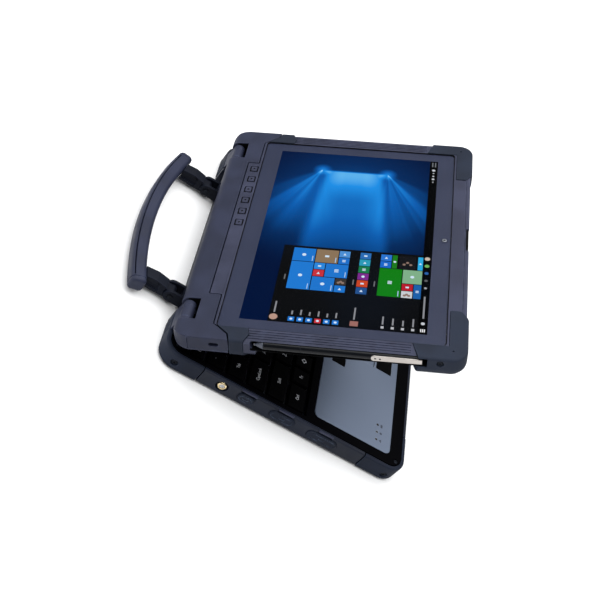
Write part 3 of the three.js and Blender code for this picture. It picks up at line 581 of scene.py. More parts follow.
def tiles_finish():
    """Flat coloured areas of the picture, each face in its own colour."""
    f = Finish("display_tiles", Roughness=0.08, Base_Color=(0, 0, 0, 1), Specular_IOR_Level=0.03)
    tint = f.node("Attribute", output="Color", attribute_name="tile")
    sheen = f.ramp(f.noise(80.0, 1.0), 0.3, 0.7, 0.0, 0.006)
    f.set("Emission Color", f.blend(sheen, tint, colour("4a90e0")))
    f.set("Emission Strength", 1.0)
    return f.material


def board_finish():
    """Circuit board with a fine grid of tracks."""
    f = Finish("board_laminate", Roughness=0.42)
    grid = {"Vector": f.place(), "Scale": 320.0}
    tints = {"Color1": colour("1b5038"), "Color2": colour("17462f"), "Mortar": colour("3f7d55")}
    f.set("Base Color", f.node("TexBrick", {**grid, "Mortar Size": 0.02, **tints}))
    f.set("Normal", f.bump(f.node("TexBrick", grid, output=1), 0.03))
    return f.material


PRINT = ink("legend_print", "b9bcc2", "e4e6ea", 0.5, 3.0, 0.3, 0.004)
LAMP = ink("lamp_lens", "060914", "0b1020", 0.2, 2.0, 0.5, 0.01)
MARK = ink("lamp_mark_ink", "1c2438", "283248", 0.45, 2.0, 0.4, 0.003)
PALM = palm_finish()
BEZEL = bezel_finish()
GLASS = glass_finish()
PICTURE = picture_finish()
TILES = tiles_finish()

# ---------------------------------------------------------------- keyboard base


def base_outline(depth):
    radius = max(BASE_CORNER - depth, 1)
    return rect(-HALF_WIDTH + depth, HALF_WIDTH - depth, BASE_FRONT + depth, BASE_REAR - depth, radius, 10)


def corner_block(side, end, clearance):
    """The space of one corner bumper, grown by a clearance."""
    across = span(side, BUMPER_ACROSS - clearance, FAR)
    if end == "rear":
        return block(*across, BUMPER_REAR - clearance, FAR, BELOW, FAR)
    return block(*across, -FAR, BUMPER_FRONT + clearance, BELOW, FAR)


def port_outline(front, rear, depth):
    half = PORT_HEIGHT / 2 - depth
    return rect(front + depth, rear - depth, PORT_Z - half, PORT_Z + half, half, 8)


PULL_HALF, PULL_LOW, PULL_HIGH = 6.6, 12.1, 14.3
BASE_SCREWS = {"rear": (79, 6.8), "front": (-109.6, 5.6)}  # y and z of the bumpers' side screws


def rear_recess(extra=0.0):
    """The space between the rear bumpers that the folded handle drops into."""
    return block(-RECESS_HALF - extra, RECESS_HALF + extra, RECESS_Y - extra, FAR, BELOW, FAR)


def pull_span(port, grow=0.0):
    """Where the finger-nail slot over a port cover starts and ends."""
    _, rear, front = port
    mid = (front + rear) / 2
    return mid - PULL_HALF - grow, mid + PULL_HALF + grow


def pull_notches():
    """Finger-nail slots under the rim, over the three port covers."""
    deep = -HALF_WIDTH + 2.2
    return [prism(rect(*pull_span(port), PULL_LOW, PULL_HIGH, 0.5), -FAR, deep, "X") for port in PORTS]


def pull_tabs():
    face = -HALF_WIDTH
    tabs = [plate(rect(*pull_span(port), PULL_HIGH + 0.2, RIM_TOP + 0.15, 0.5), face - 0.25, face + 1.6,
                  bottom=0.3, axis="X") for port in PORTS]
    piece("port_pull_tabs", gather(*tabs), TRIM, "base", bevel=0.1)
    # Black blocks at the back of each finger-nail slot: painted shade in the slots.
    slot_shade = [block(face + 1.75, face + 2.15, *pull_span(port, -0.1), PULL_LOW + 0.5, PULL_HIGH - 0.1)
             for port in PORTS]
    piece("port_pull_slot_shade", gather(*slot_shade), BLACK, "base", bevel=0)


def base_shell():
    wall, inside = -HALF_WIDTH, -HALF_WIDTH + BASE_WALL + 1
    body = plate(base_outline(0.5), 0, RIM_TOP, 1.4, 1.4)
    seat = cut(prism(base_outline(BASE_RIM), DECK_SEAT, FAR), rear_recess(RECESS_WALL))
    hollow = cut(prism(base_outline(BASE_WALL), BASE_FLOOR, FAR), rear_recess(BASE_WALL))
    beds = []
    for _, side in SIDES:
        for end in ("front", "rear"):
            inner = prism(base_outline(BUMPER_THICKNESS + GAP), -4, FAR + 1)
            rim = cut(prism(base_outline(-1.0), -3, FAR), inner)
            beds.append(common(rim, corner_block(side, end, 0.7)))
    tab_beds = [block(-FAR, wall + 1.7, *pull_span(port, 0.1), PULL_HIGH + 0.1, FAR) for port in PORTS]
    grooves, windows = [], []
    for _, rear, front in PORTS:
        grooves.append(cut(prism(port_outline(front, rear, -1.0), -FAR, wall + 0.5, "X"),
                           prism(port_outline(front, rear, -0.5), -FAR - 1, 0, "X")))
        windows.append(prism(port_outline(front, rear, -GAP), -FAR, inside, "X"))
    socket = rod(5.2, -FAR, inside, ANTENNA_Y, ANTENNA_Z)
    feet_beds = [prism(foot_outline(y, GAP), -3, FOOT_RECESS) for _, y in FOOT_ROWS]
    vents = [prism(rect(x - 1.1, x + 1.1, -24, 8, 1.0, 3), -1, 1.2) for x in range(-60, 61, 6)]
    screws = [(x, y) for x in (-112, 0, 112) for y in (-92, 55)]
    wells = [rod(3.4, -1, 0.9, x, y, "Z") for x, y in screws]
    cut(body, seat, hollow, rear_recess(), *beds, *windows, socket)
    cut(body, *feet_beds, *pull_notches(), *tab_beds, *grooves)
    cut(body, gather(*vents, *wells))
    piece("base_shell", body, SHELL, "base", ["base_bottom_cover"], 0.25)
    pull_tabs()
    heads = [screw_head(x, y, 0.1) for x, y in screws]
    piece("base_screws_below", gather(*heads), SCREW, "base", bevel=0.12)


def screw_head(x, y, z, radius=2.6):
    """A low round head that faces down, with a hexagonal drive."""
    head = turned([(radius, z + 0.8), (radius, z + 0.25), (radius - 0.5, z)], x, y, "Z", 24)
    return cut(head, rod(radius * 0.45, z - 1, z + 0.55, x, y, "Z", 6))


def side_screw(name, body, side, y, z, radius, levels, drive):
    """A screw head in a side wall; levels are its bed, shoulder, top and drive, in from the face."""
    bed, shoulder, top, deep = (side * (HALF_WIDTH - level) for level in levels)
    head = turned([(radius, bed), (radius, shoulder), (radius - 0.4, top)], y, z, "X", 24)
    cut(head, rod(drive, *sorted((deep, side * (HALF_WIDTH + 1))), y, z, "X", 6))
    piece(name, head, SCREW, body, bevel=0.1)


def base_bumpers():
    for end, edge in (("front", BASE_FRONT), ("rear", BASE_REAR)):
        outward = math.copysign(1, edge)
        for word, side in SIDES:
            body = plate(base_outline(0), 0, RIM_TOP, 1.6, 1.6)
            cut(body, prism(base_outline(BUMPER_THICKNESS), -1, FAR))
            common(body, corner_block(side, end, -GAP))
            y, z = BASE_SCREWS[end]
            cut(body, rod(3.1, *span(side, HALF_WIDTH - 2.2, HALF_WIDTH + 2), y, z))
            groove = sorted((edge + outward * 2, edge - outward * 0.7))
            cut(body, *[block(*span(side, x, x + 1.6), *groove, 4, 12) for x in (101, 105, 109)])
            name = f"base_bumper_{end}_{word}"
            piece(name + "_rubber", body, GUARD, "base", [name], 0.35)
            side_screw(f"base_screw_{end}_{word}", "base", side, y, z, 2.3, (2.2, 1.6, 1.2, 1.8), 1.1)


def foot_outline(y, grow):
    half, reach = FOOT_WIDTH / 2 + grow, FOOT_HALF + grow
    return rect(-reach, reach, y - half, y + half, FOOT_WIDTH / 2, 8)


def feet():
    for name, y in FOOT_ROWS:
        body = prism(foot_outline(y, 0), -FOOT_DROP, FOOT_RECESS - GAP)
        treads = [block(x - 0.5, x + 0.5, y - 9, y + 9, -3, -FOOT_DROP + 0.5) for x in range(-90, 91, 10)]
        cut(body, *treads)
        piece(name + "_strip", body, GUARD, "base", [name], 0.3)


def port_covers():
    outer = -HALF_WIDTH - 0.3
    for name, rear, front in PORTS:
        flange = plate(port_outline(front, rear, 0), outer, outer + 2.2, bottom=0.6, axis="X")
        join(flange, prism(port_outline(front, rear, 1.6), outer + 1, outer + 4.2, "X"))
        groove = cut(prism(port_outline(front, rear, 1.5), outer - 1, outer + 0.45, "X"),
                     prism(port_outline(front, rear, 2.1), outer - 2, outer + 1, "X"))
        mid = (rear + front) / 2
        dent = rect(mid - 2.4, mid + 2.4, PORT_Z - 1.0, PORT_Z + 1.0, 0.9, 4)
        cut(flange, groove, prism(dent, outer - 1, outer + 0.35, "X"))
        piece(name + "_flap", flange, COVER, name, [name], 0.15)


def antenna():
    """A threaded coaxial jack with its nut, its insulator with a blind centre hole, and a washer."""
    face = -HALF_WIDTH + 0.4
    profile = [(2.9, face), (3.3, face + 0.3)]
    for k in range(6):
        level = face + 0.5 + 0.7 * k
        profile += [(3.6, level), (3.25, level + 0.35)]
    profile += [(3.6, face + 4.9), (3.6, -HALF_WIDTH + BASE_WALL + 0.6)]
    barrel = turned(profile, ANTENNA_Y, ANTENNA_Z, "X")
    nut = rod(4.8, -HALF_WIDTH + 3.2, -HALF_WIDTH + 5, ANTENNA_Y, ANTENNA_Z, "X", 6)
    body = join(barrel, nut)
    cut(body, rod(2.3, face - 1, face + 3, ANTENNA_Y, ANTENNA_Z))
    piece("antenna_jack", body, GOLD, "base", ["antenna_connector"], 0.08)
    sleeve = rod(2.25, face + 0.9, face + 3, ANTENNA_Y, ANTENNA_Z)
    cut(sleeve, rod(0.75, face, face + 2.2, ANTENNA_Y, ANTENNA_Z))
    piece("antenna_insulator", sleeve, PRINT, "base", bevel=0.1)
    black_insert = rod(5.1, -HALF_WIDTH + 2.2, -HALF_WIDTH + 3.1, ANTENNA_Y, ANTENNA_Z)
    cut(black_insert, rod(3.75, -FAR, 0, ANTENNA_Y, ANTENNA_Z))
    piece("antenna_washer", black_insert, BLACK, "base", bevel=0.1)


def palm_outline(depth):
    return rect(-PALM_HALF + depth, PALM_HALF - depth, PALM_FRONT + depth, PALM_REAR - depth, PALM_CORNER, 8)


def pad_block(rear, front, half, depth, z0, z1):
    return block(-half + depth, half - depth, front + depth, rear - depth, z0, z1)


def pad_outline(rear, front, half, radius, steps):
    return rect(-half + GAP, half - GAP, front + GAP, rear - GAP, radius, steps)


def pads():
    return [(rear, front, half) for _, rear, front, half in PAD_BARS] + [TOUCHPAD]


def deck_plate():
    body = plate(base_outline(BASE_RIM + GAP), DECK_BOTTOM, DECK_TOP, 0.6)
    cut(body, rear_recess(RECESS_WALL + GAP), block(-WELL_HALF, WELL_HALF, WELL_FRONT, WELL_REAR, 0, FAR),
        prism(palm_outline(-GAP), PALM_BOTTOM - GAP, FAR), *[pad_block(*pad, -1, 0, FAR) for pad in pads()])
    screws = [(x, y) for x in (-124.5, 124.5) for y in (-113.5, 82)]
    cut(body, *[rod(2.2, DECK_TOP - 0.8, FAR, x, y, "Z", 24) for x, y in screws])
    piece("deck_plate", body, DECK, "base", ["base_deck"], 0.2)
    heads = [cut(turned([(1.8, DECK_TOP - 0.8), (1.8, DECK_TOP - 0.3), (1.4, DECK_TOP - 0.1)], x, y, "Z", 24),
                 rod(0.8, DECK_TOP - 0.5, FAR, x, y, "Z", 6)) for x, y in screws]
    piece("deck_screws", gather(*heads), SCREW, "base", bevel=0.08)


def palm_rest():
    body = plate(palm_outline(0), PALM_BOTTOM, PALM_TOP, 0.3)
    lamps = [(-98 - 7.5 * k, -93.3) for k in range(3)]
    cut(body, *[pad_block(*pad, 0, 0, FAR) for pad in pads()],
        *[rod(1.15, 0, FAR, x, y, "Z", 20) for x, y in lamps])
    piece("palm_rest_plate", body, PALM, "base", ["palm_rest"], 0.15)
    lens = [(1.1, PALM_BOTTOM), (1.1, PALM_TOP - 0.1), (0.6, PALM_TOP)]
    lenses = [turned(lens, x, y, "Z", 20) for x, y in lamps]
    piece("status_lamps", gather(*lenses), LAMP, "base", bevel=0)
    marks = [prism(outline, PALM_TOP - 0.05, PALM_TOP + 0.03) for outline in (
        rect(-99.6, -96.4, -97.9, -96.1, 0.3, 2),
        circle(-105.5, -97.0, 1.1, 16),
        soft([(-114.6, -97.9, 0), (-111.4, -97.9, 0), (-113, -95.6, 0)]),
    )]
    piece("lamp_marks", gather(*marks), MARK, "base", bevel=0)
    for name, rear, front, half in PAD_BARS:
        bar = plate(pad_outline(rear, front, half, 0.8, 3), DECK_BOTTOM, PALM_TOP + 0.1, 0.35)
        cut(bar, block(-0.25, 0.25, front - 1, rear + 1, PALM_TOP - 0.3, FAR))
        piece(name + "_bar", bar, KEYS, name, [name], 0.12)
    pad = plate(pad_outline(*TOUCHPAD, 1.5, 4), PALM_BOTTOM - 1, PALM_TOP - 0.4, 0.2)
    piece("touchpad_surface", pad, PALM, "base", ["touchpad"], 0.12)


# ---------------------------------------------------------------- keyboard

# Each row: name, place from the front, start in key units, widths in key units, and legends.
KEY_ROWS = (
    ("key_row_space_left", 0, 0, (1.5, 1, 1, 1.25), ("Ctrl", "Fn", "", "Alt")),
    ("space_bar", 0, 4.75, (5,), ("",)),
    ("key_row_space_right", 0, 9.75, (1.25, 1, 1, 1.5), ("Alt", "<", ">", "Ctrl")),
    ("key_row_shift", 1, 0, (2.25,) + (1,) * 10 + (2.25,), ("Shift", *"ZXCVBNM,./", "Shift")),
    ("key_row_home", 2, 0, (1.75,) + (1,) * 11 + (1.75,), ("CapsLock", *"ASDFGHJKL;'", "Enter")),
    ("key_row_tab", 3, 0, (1.5,) + (1,) * 13, ("Tab", *"QWERTYUIOP[]\\")),
    ("key_row_number", 4, 0, (1,) * 13 + (1.5,), (*"`1234567890-=", "Back")),
)
FUNCTION_LEGENDS = ("Esc", *[f"F{n}" for n in range(1, 13)], "Ins", "Del")
HOME_SYMBOL = ("key_row_space_left", 2)  # the key with a plain diamond on it
LETTER, WORD = 5, 3.8  # heights of the legends


def cap(x0, x1, y, depth):
    """One keycap: sides that lean in, and a top whose edge is rounded."""
    half, deep = (x1 - x0 - KEY_GAP) / 2, depth / 2
    mid = (x0 + x1) / 2
    outline = rect(mid - half, mid + half, y - deep, y + deep, 1.4, 4)
    levels = ((0, CAP_BOTTOM), (0, CAP_BOTTOM + 0.9), (0.6, CAP_TOP - 0.45), (0.85, CAP_TOP - 0.12),
              (1.25, CAP_TOP))
    return loft([[(a, b, level) for a, b in inset(outline, lean)] for lean, level in levels])


def legend(text, x, y, size):
    """Raised generic lettering, centred on a key."""
    curve = bpy.data.curves.new("legend", "FONT")
    curve.body = text
    curve.size = size
    curve.extrude = 0.02
    curve.resolution_u = 2
    curve.align_x = "CENTER"
    curve.align_y = "CENTER"
    holder = bpy.data.objects.new("legend", curve)
    bpy.context.scene.collection.objects.link(holder)
    bpy.context.view_layer.update()
    mesh = bpy.data.meshes.new_from_object(holder.evaluated_get(bpy.context.evaluated_depsgraph_get()))
    bpy.data.objects.remove(holder)
    bpy.data.curves.remove(curve)
    mesh.transform(Matrix.Translation((x, y, CAP_TOP + 0.01)) @ Matrix.Diagonal((0.84, 1, 1, 1)))
    shape = bpy.data.objects.new("legend", mesh)
    bpy.context.scene.collection.objects.link(shape)
    return shape


def key_row(name, widths, start, y, depth, unit, legends):
    left = KEY_LEFT + start * unit
    caps, marks = [], []
    first = left
    for width, text in zip(widths, legends):
        right = left + width * unit
        caps.append(cap(left, right, y, depth))
        if text:
            marks.append(legend(text, (left + right) / 2, y, LETTER if len(text) < 2 else WORD))
        if (name, len(caps) - 1) == HOME_SYMBOL:
            mid = (left + right) / 2
            marks.append(cut(prism(circle(mid, y, 2.4, 4), CAP_TOP - 0.01, CAP_TOP + 0.03),
                             prism(circle(mid, y, 1.5, 4), CAP_TOP - 1, CAP_TOP + 1)))
        left = right
    half_web = min(13, depth - 2) / 2
    web = block(first + 2, left - 2, y - half_web, y + half_web, WEB_BOTTOM, CAP_BOTTOM + 0.2)
    body = join(gather(*caps), web)
    piece(name + "_caps", body, KEYS, name, [name], bevel=0)
    if marks:
        piece(name + "_legends", gather(*marks), PRINT, name, bevel=0)


def keyboard():
    for name, row, start, widths, legends in KEY_ROWS:
        key_row(name, widths, start, ROW_ONE_Y + row * KEY_PITCH_Y, KEY_DEPTH, KEY_PITCH_X, legends)
    count = len(FUNCTION_LEGENDS)
    unit = KEY_UNITS * KEY_PITCH_X / count
    key_row("key_row_function", (1,) * count, 0, FUNCTION_Y, FUNCTION_DEPTH, unit, FUNCTION_LEGENDS)
    carry(STEEL, "keyboard_backplate")


# ---------------------------------------------------------------- hinge and handle


def hinge_knuckles():
    y, z = HINGE.y / MM, HINGE.z / MM
    foot = DECK_TOP + GAP
    neck = soft([(y - 6, foot, 0), (y + 5.8, foot, 0), (y + 4.5, z, 0), (y - 4.5, z, 0),
                 (y - 4.5, DECK_TOP + 4, 1.5)])
    for word, side in SIDES:
        x0, x1 = span(side, KNUCKLE_INNER, KNUCKLE_OUTER)
        barrel = plate(circle(y, z, KNUCKLE_RADIUS, 48), x0, x1, 0.5, 0.5, "X")
        pedestal = prism(neck, x0 + 0.2, x1 - 0.2, "X")
        body = cut(join(barrel, pedestal), rod(HINGE_PIN + GAP, x0 - 1, x1 + 1, y, z))
        grooves = [cut(rod(KNUCKLE_RADIUS + 1, x, x + 0.8, y, z, "X", 48),
                       rod(KNUCKLE_RADIUS - 0.5, x - 1, x + 2, y, z, "X", 48)) for x in (x0 + 4, x0 + 16.2)]
        cut(body, *grooves)
        piece(f"hinge_knuckle_{word}", body, CASING, "base", [f"hinge_mount_{word}"], 0.3)


GRIP_RADIUS = (GRIP_HALF_CHORD ** 2 + GRIP_SAGITTA ** 2) / (2 * GRIP_SAGITTA)
GRIP_TURN = math.asin(GRIP_HALF_CHORD / GRIP_RADIUS)


def grip_arc(offset, z, turn):
    reach = GRIP_RADIUS + offset
    return (reach * math.sin(turn), GRIP_MID - GRIP_RADIUS + reach * math.cos(turn), z)


def swept(outline, start, end, ends=0.0):
    """A section (offset, height) swept round the grip's arc; ends is the radius that rounds off both ends."""
    stops = [(start + (end - start) * k / 40, 0) for k in range(41)]
    if ends:
        step = math.copysign(ends / GRIP_RADIUS, end - start)
        turns = [math.pi / 8 * k for k in (4, 3, 2, 1, 0)]
        rounding = [(step * (1 - math.sin(t)), ends * (1 - math.cos(t))) for t in turns]
        stops = ([(start + reach, depth) for reach, depth in rounding] + stops[1:-1]
                 + [(end - reach, depth) for reach, depth in reversed(rounding)])
    return loft([[grip_arc(a, b, turn) for a, b in inset(outline, depth)] for turn, depth in stops])


def handle_grip():
    half = GRIP_WIDTH / 2
    section = soft([(-half, GRIP_LOW, 2.8), (half, GRIP_LOW, 3.6), (half, GRIP_HIGH - 1.4, 4.6),
                    (-half, GRIP_HIGH, 3.8)], 6)
    body = swept(section, -GRIP_TURN, GRIP_TURN, 2.4)
    long, short = GRIP_TURN * 0.93, GRIP_TURN * 0.8
    groove = swept(rect(half - 2.9, half - 1.9, GRIP_HIGH - 4.4, GRIP_HIGH + 3), -long, long)
    under = swept(rect(-half + 3, half - 3, GRIP_LOW - 2, GRIP_LOW + 0.8), -short, short)
    around = rect(-half - 2, half + 2, GRIP_LOW - 2, GRIP_HIGH + 2)
    seams = []
    for _, side in SIDES:
        seam = side * GRIP_TURN * 0.95
        core = swept(inset(section, 0.7), seam - 0.003, seam + 0.003)
        seams.append(cut(swept(around, seam - 0.0015, seam + 0.0015), core))
    cut(body, groove, under, *seams)
    piece("handle_grip_moulding", body, CASING, "handle", ["handle_grip"], 0.3)


def handle_arms():
    low, high, y = HANDLE_Z - ARM_HALF, HANDLE_Z + ARM_HALF, HANDLE_Y
    half = GRIP_WIDTH / 2 + GAP
    profile = soft([(y + 1, low, 0), (y + 15, low - 0.5, 4), (GRIP_MID, low + 1.5, 0),
                    (GRIP_MID, high - 0.5, 0), (y + 15, high + 2, 6), (y + 5.2, high, 0),
                    (y + 6.3, HANDLE_Z + 1, 0), (y + 1, HANDLE_Z + 1, 0)])
    pocket = soft([(y + 10, low + 2.4, 1.2), (GRIP_MID + 9, low + 3.4, 1.2), (GRIP_MID + 9, high - 2.4, 1.2),
                   (y + 11, high - 1.8, 1.2)])
    for word, side in SIDES:
        x0, x1 = span(side, HANDLE_INNER + 1.8, HANDLE_OUTER - 1.8)
        tongue = span(side, HANDLE_INNER + EAR_THICKNESS + GAP, HANDLE_OUTER - EAR_THICKNESS - GAP)
        body = prism(profile, x0, x1, "X")
        cut(body, rod(EAR_RADIUS + 0.5, x0 - 1, x1 + 1, y, HANDLE_Z, "X", 40))
        join(body, join(rod(3.4, *tongue, y, HANDLE_Z), block(*tongue, y, y + 8, low + 2, high - 2)))
        space = swept(rect(-half, half + 20, -30, 50), -GRIP_TURN - 0.05, GRIP_TURN + 0.05)
        pockets = [prism(pocket, *sides, "X") for sides in ((x0 - 1, x0 + 1.2), (x1 - 1.2, x1 + 1))]
        cut(body, space, *pockets, rod(2.3, x0 - 1, x1 + 1, y, HANDLE_Z))
        piece(f"handle_arm_{word}_moulding", body, ARM, "handle", [f"handle_arm_{word}"], 0.4)


def handle_mounts():
    low, high = HANDLE_Z - EAR_RADIUS, HANDLE_Z + EAR_RADIUS
    for word, side in SIDES:
        x0, x1 = span(side, HANDLE_INNER, HANDLE_OUTER)
        root = block(x0, x1, RECESS_Y + 0.05, RECESS_Y + 3, 2.5, high)
        ears = [join(rod(EAR_RADIUS, a, b, HANDLE_Y, HANDLE_Z, "X", 40),
                     block(a, b, RECESS_Y + 1, HANDLE_Y, low, high))
                for a, b in ((x0, x0 + EAR_THICKNESS), (x1 - EAR_THICKNESS, x1))]
        body = cut(join(root, gather(*ears)), rod(2.3, x0 - 1, x1 + 1, HANDLE_Y, HANDLE_Z))
        piece(f"handle_mount_{word}_bracket", body, ARM, "base", [f"handle_mount_{word}"], 0.35)


# ---------------------------------------------------------------- dock

DOCK_SEAM = -5.0  # height of the line between the two shells
LOCK_SLOT = CENTRE - 82.3  # where the lock slots lie along the lid


def dock_face(grow):
    """Half of the dock's outline on its tablet side, grown towards the tablet."""
    return [
        (DOCK_FRONT_HALF - grow, DOCK_FRONT + grow, 0),
        (DOCK_FRONT_HALF - grow, SHOULDER + grow, 1.4),
        (SHOULDER_HALF, SHOULDER + grow, 2),
        (SHOULDER_HALF + 3.5 - grow, SHOULDER + 4.5 + grow, 1),
        (ELBOW - grow, ARM_REACH - 2 + grow, 2),
        (HALF_WIDTH + grow, ARM_REACH + grow, 0),
    ]


def mirrored(half, steps=6):
    """A whole outline of the lid from its right half."""
    right = [(x, -reach, radius) for x, reach, radius in half]
    return soft([(-x, y, radius) for x, y, radius in reversed(right)] + right, steps)


def dock_plan():
    side = HALF_WIDTH - 0.3
    rear = [(side, ARM_REACH, 0), (side, -HINGE_RADIUS, 15), (0.01, -HINGE_RADIUS, 0)]
    return mirrored(dock_face(0)[:5] + rear, 10)


def dock_section(top, bottom):
    reach = -ARM_REACH - 1
    turns = [math.pi * k / 24 for k in range(25)]
    arc = [(HINGE_RADIUS * math.sin(t), HINGE_RADIUS * -math.cos(t)) for t in turns]
    return [(reach, bottom), (-0.5, bottom)] + arc + [(-2, top), (reach, top)]


def dock_slab():
    slab = prism(dock_section(DOCK_TOP, DOCK_BOTTOM), -HALF_WIDTH, HALF_WIDTH, "X")
    return common(slab, plate(dock_plan(), DOCK_BOTTOM - 0.2, DOCK_TOP, 0.7, 0.7))


def notches():
    return [along(*span(side, NOTCH_INNER, NOTCH_OUTER), -FAR, NOTCH_END, -FAR, FAR) for _, side in SIDES]


def pin_bore():
    """The bore of the hinge pins through the lid."""
    return rod(HINGE_PIN + GAP, -PIN_END, PIN_END, 0, 0)


def notch_painted_shade():
    """Thin black walls in the front half of each hinge notch: painted shade for the deep notch."""
    shade_walls = []
    for _, side in SIDES:
        x0, x1 = span(side, NOTCH_INNER, NOTCH_OUTER)
        wall = along(x0 + 0.03, x1 - 0.03, -1, NOTCH_END - 0.03, DOCK_BOTTOM + 0.6, DOCK_TOP - 0.9)
        shade_walls.append(cut(wall, along(x0 + 0.3, x1 - 0.3, -FAR, NOTCH_END - 0.3, -FAR, FAR), pin_bore()))
    piece("hinge_notch_painted_shade", gather(*shade_walls), BLACK, "dock", bevel=0)


def connector_seat():
    return along(-12, 12, DOCK_FRONT - 4, DOCK_FRONT + 1, -3, 3)


def dock_shells():
    upper = common(dock_slab(), block(-FAR, FAR, -FAR, FAR, DOCK_SEAM, FAR))
    hollow = along(-DOCK_FRONT_HALF + 4, DOCK_FRONT_HALF - 4, 0, DOCK_FRONT - 3, -4, DOCK_TOP - 2.2)
    slot = rect(-LOCK_SLOT - 3.6, -LOCK_SLOT + 3.6, -1.0, 2.2, 1.5, 5)
    slots = [prism(slot, *span(side, HALF_WIDTH - 3.5, FAR), "X") for _, side in SIDES]
    joints = [along(*span(side, HALF_WIDTH - 0.9, FAR), 5.9, 6.4, -FAR, FAR) for _, side in SIDES]
    cut(upper, *notches(), hollow, pin_bore(), connector_seat(), *slots, *joints)
    notch_painted_shade()
    piece("dock_top_shell", upper, CASING, "dock", ["dock_upper_shell"], 0.35)
    lower = common(dock_slab(), block(-FAR, FAR, -FAR, FAR, -FAR, DOCK_SEAM - 0.1))
    inner = DOCK_SEAM - 0.4
    shelf = [(6, DOCK_BOTTOM + 2), (-2, LEDGE_BOTTOM + 1), (-4, LEDGE_BOTTOM), (-LEDGE_REACH, LEDGE_BOTTOM),
             (-LEDGE_REACH, LEDGE_TOP), (-DOCK_FRONT, LEDGE_TOP), (-DOCK_FRONT, inner), (0, inner)]
    ledge = prism(shelf, -LEDGE_HALF, LEDGE_HALF, "X")
    near_hinge = rod(HINGE_RADIUS + 4.9, -FAR, FAR, 0, 0, "X", 64)
    join(lower, common(ledge, join(near_hinge, along(-FAR, FAR, 3.9, FAR, -FAR, FAR))))
    window = along(-13.3, 8.3, 15.7, 23.3, -FAR, LEDGE_TOP + 1)
    dents = [prism(rect(x - 12, x + 12, -27, -14, 2, 4), LEDGE_BOTTOM - 1, LEDGE_BOTTOM + 0.5)
             for x in (-80, 80)]
    cut(lower, *notches(), pin_bore(), connector_seat(), window, *dents)
    piece("dock_bottom_shell", lower, TRIM, "dock", ["dock_lower_shell"], 0.3)


def dock_fittings():
    slide = along(-8, 8, 16, 23, LEDGE_BOTTOM + 0.1, LEDGE_TOP - 0.1)
    cut(slide, *[along(x - 0.5, x + 0.5, 17, 22, -FAR, LEDGE_BOTTOM + 0.6) for x in range(-5, 6, 2)])
    piece("dock_latch_slide", slide, RUBBER, "latch", ["dock_latch"], 0.2)
    body = along(-11.7, 11.7, DOCK_FRONT - 3.7, DOCK_FRONT + 1.4, -2.7, 2.7)
    piece("dock_connector_body", body, BLACK, "dock", ["dock_connector"], 0.3)
    pins = [plate(circle(x, 0, 0.6, 16), -DOCK_FRONT - 1.6, -DOCK_FRONT - 1.3, bottom=0.15, axis="Y")
            for x in [-9 + 2 * k for k in range(10)]]
    piece("dock_contacts", gather(*pins), GOLD, "dock", bevel=0)


# ---------------------------------------------------------------- tablet


JOINT = 0.8  # the open line between dock and tablet


def tablet_plan():
    half = [(0.01, DOCK_FRONT + JOINT, 0), *dock_face(JOINT)[:5], (TABLET_HALF, ARM_REACH + JOINT, 0),
            (TABLET_HALF, FREE_EDGE, 10), (0.01, FREE_EDGE, 0)]
    return mirrored(list(reversed(half)), 8)


BUMPER_INNER = 119.6  # half distance between the tablet's left and right bumpers
BUMPER_EDGE, BUMPER_TOP = CENTRE + 97.5, 7.0


def free_bumper_outline(side, grow):
    edge, start, step = BUMPER_EDGE + grow, CENTRE + 58.3 - grow, CENTRE + 84 - grow
    inner, corner = BUMPER_INNER - grow, 82.6 - grow
    points = [
        (inner, start, 0), (inner, step, 0), (corner, step, 0), (corner, CENTRE + 92, 2),
        (corner + 8, edge, 2), (HALF_WIDTH + grow, edge, 12), (HALF_WIDTH + grow, start + 5, 0),
    ]
    return soft([(side * x, -reach, radius) for x, reach, radius in points], 8)


def dock_bumper_outline(side, grow):
    start, inner, outer = CENTRE - 59.4 + grow, BUMPER_INNER - grow, HALF_WIDTH + grow
    points = [
        (inner, SHOULDER + 4.3 - 3 * grow, 0), (ELBOW - 0.2, ARM_REACH - 0.9 - 3 * grow, 0),
        (outer, ARM_REACH + 0.9 - 3 * grow, 0), (outer, start - 1.8, 0), (125.5, start + 1.8, 0),
        (inner, start, 0),
    ]
    return soft([(side * x, -reach, radius) for x, reach, radius in points])


LIP_REACH = 131
LIP_TOP = 5.75


def tablet_envelope():
    """Flat front, sloping side trims, upright sides and a chamfered back."""
    w = TABLET_HALF
    right = [(w - BACK_INSET, BACK), (w, BACK + BACK_CHAMFER), (w, GLASS_TOP - 1.8), (w - 1.4, LIP_TOP - 0.3),
             (LIP_REACH - 2, LIP_TOP + 0.15), (SLOPE_START, GLASS_TOP)]
    across = right + [(-x, z) for x, z in reversed(right)]
    lengthwise = [(-FREE_EDGE + BACK_INSET, BACK), (-DOCK_FRONT, BACK), (-DOCK_FRONT, GLASS_TOP),
                  (-FREE_EDGE + 1, GLASS_TOP), (-FREE_EDGE, GLASS_TOP - 1), (-FREE_EDGE, BACK + BACK_CHAMFER)]
    body = prism(across, -FREE_EDGE, 0, "Y")
    return common(body, prism(lengthwise, -w, w, "X"), prism(tablet_plan(), -FAR, FAR))


def bumper_spaces():
    return [prism(outline(side, GAP), -FAR, FAR) for _, side in SIDES
            for outline in (free_bumper_outline, dock_bumper_outline)]


def button_x(index):
    return BUTTON_FIRST - index * BUTTON_PITCH


def button_outline(index, grow, radius=0.5):
    x = button_x(index)
    wide, deep = 4 + grow, 3.25 + grow
    return rect(x - wide, x + wide, -BUTTON_ALONG - deep, -BUTTON_ALONG + deep, radius, 3)


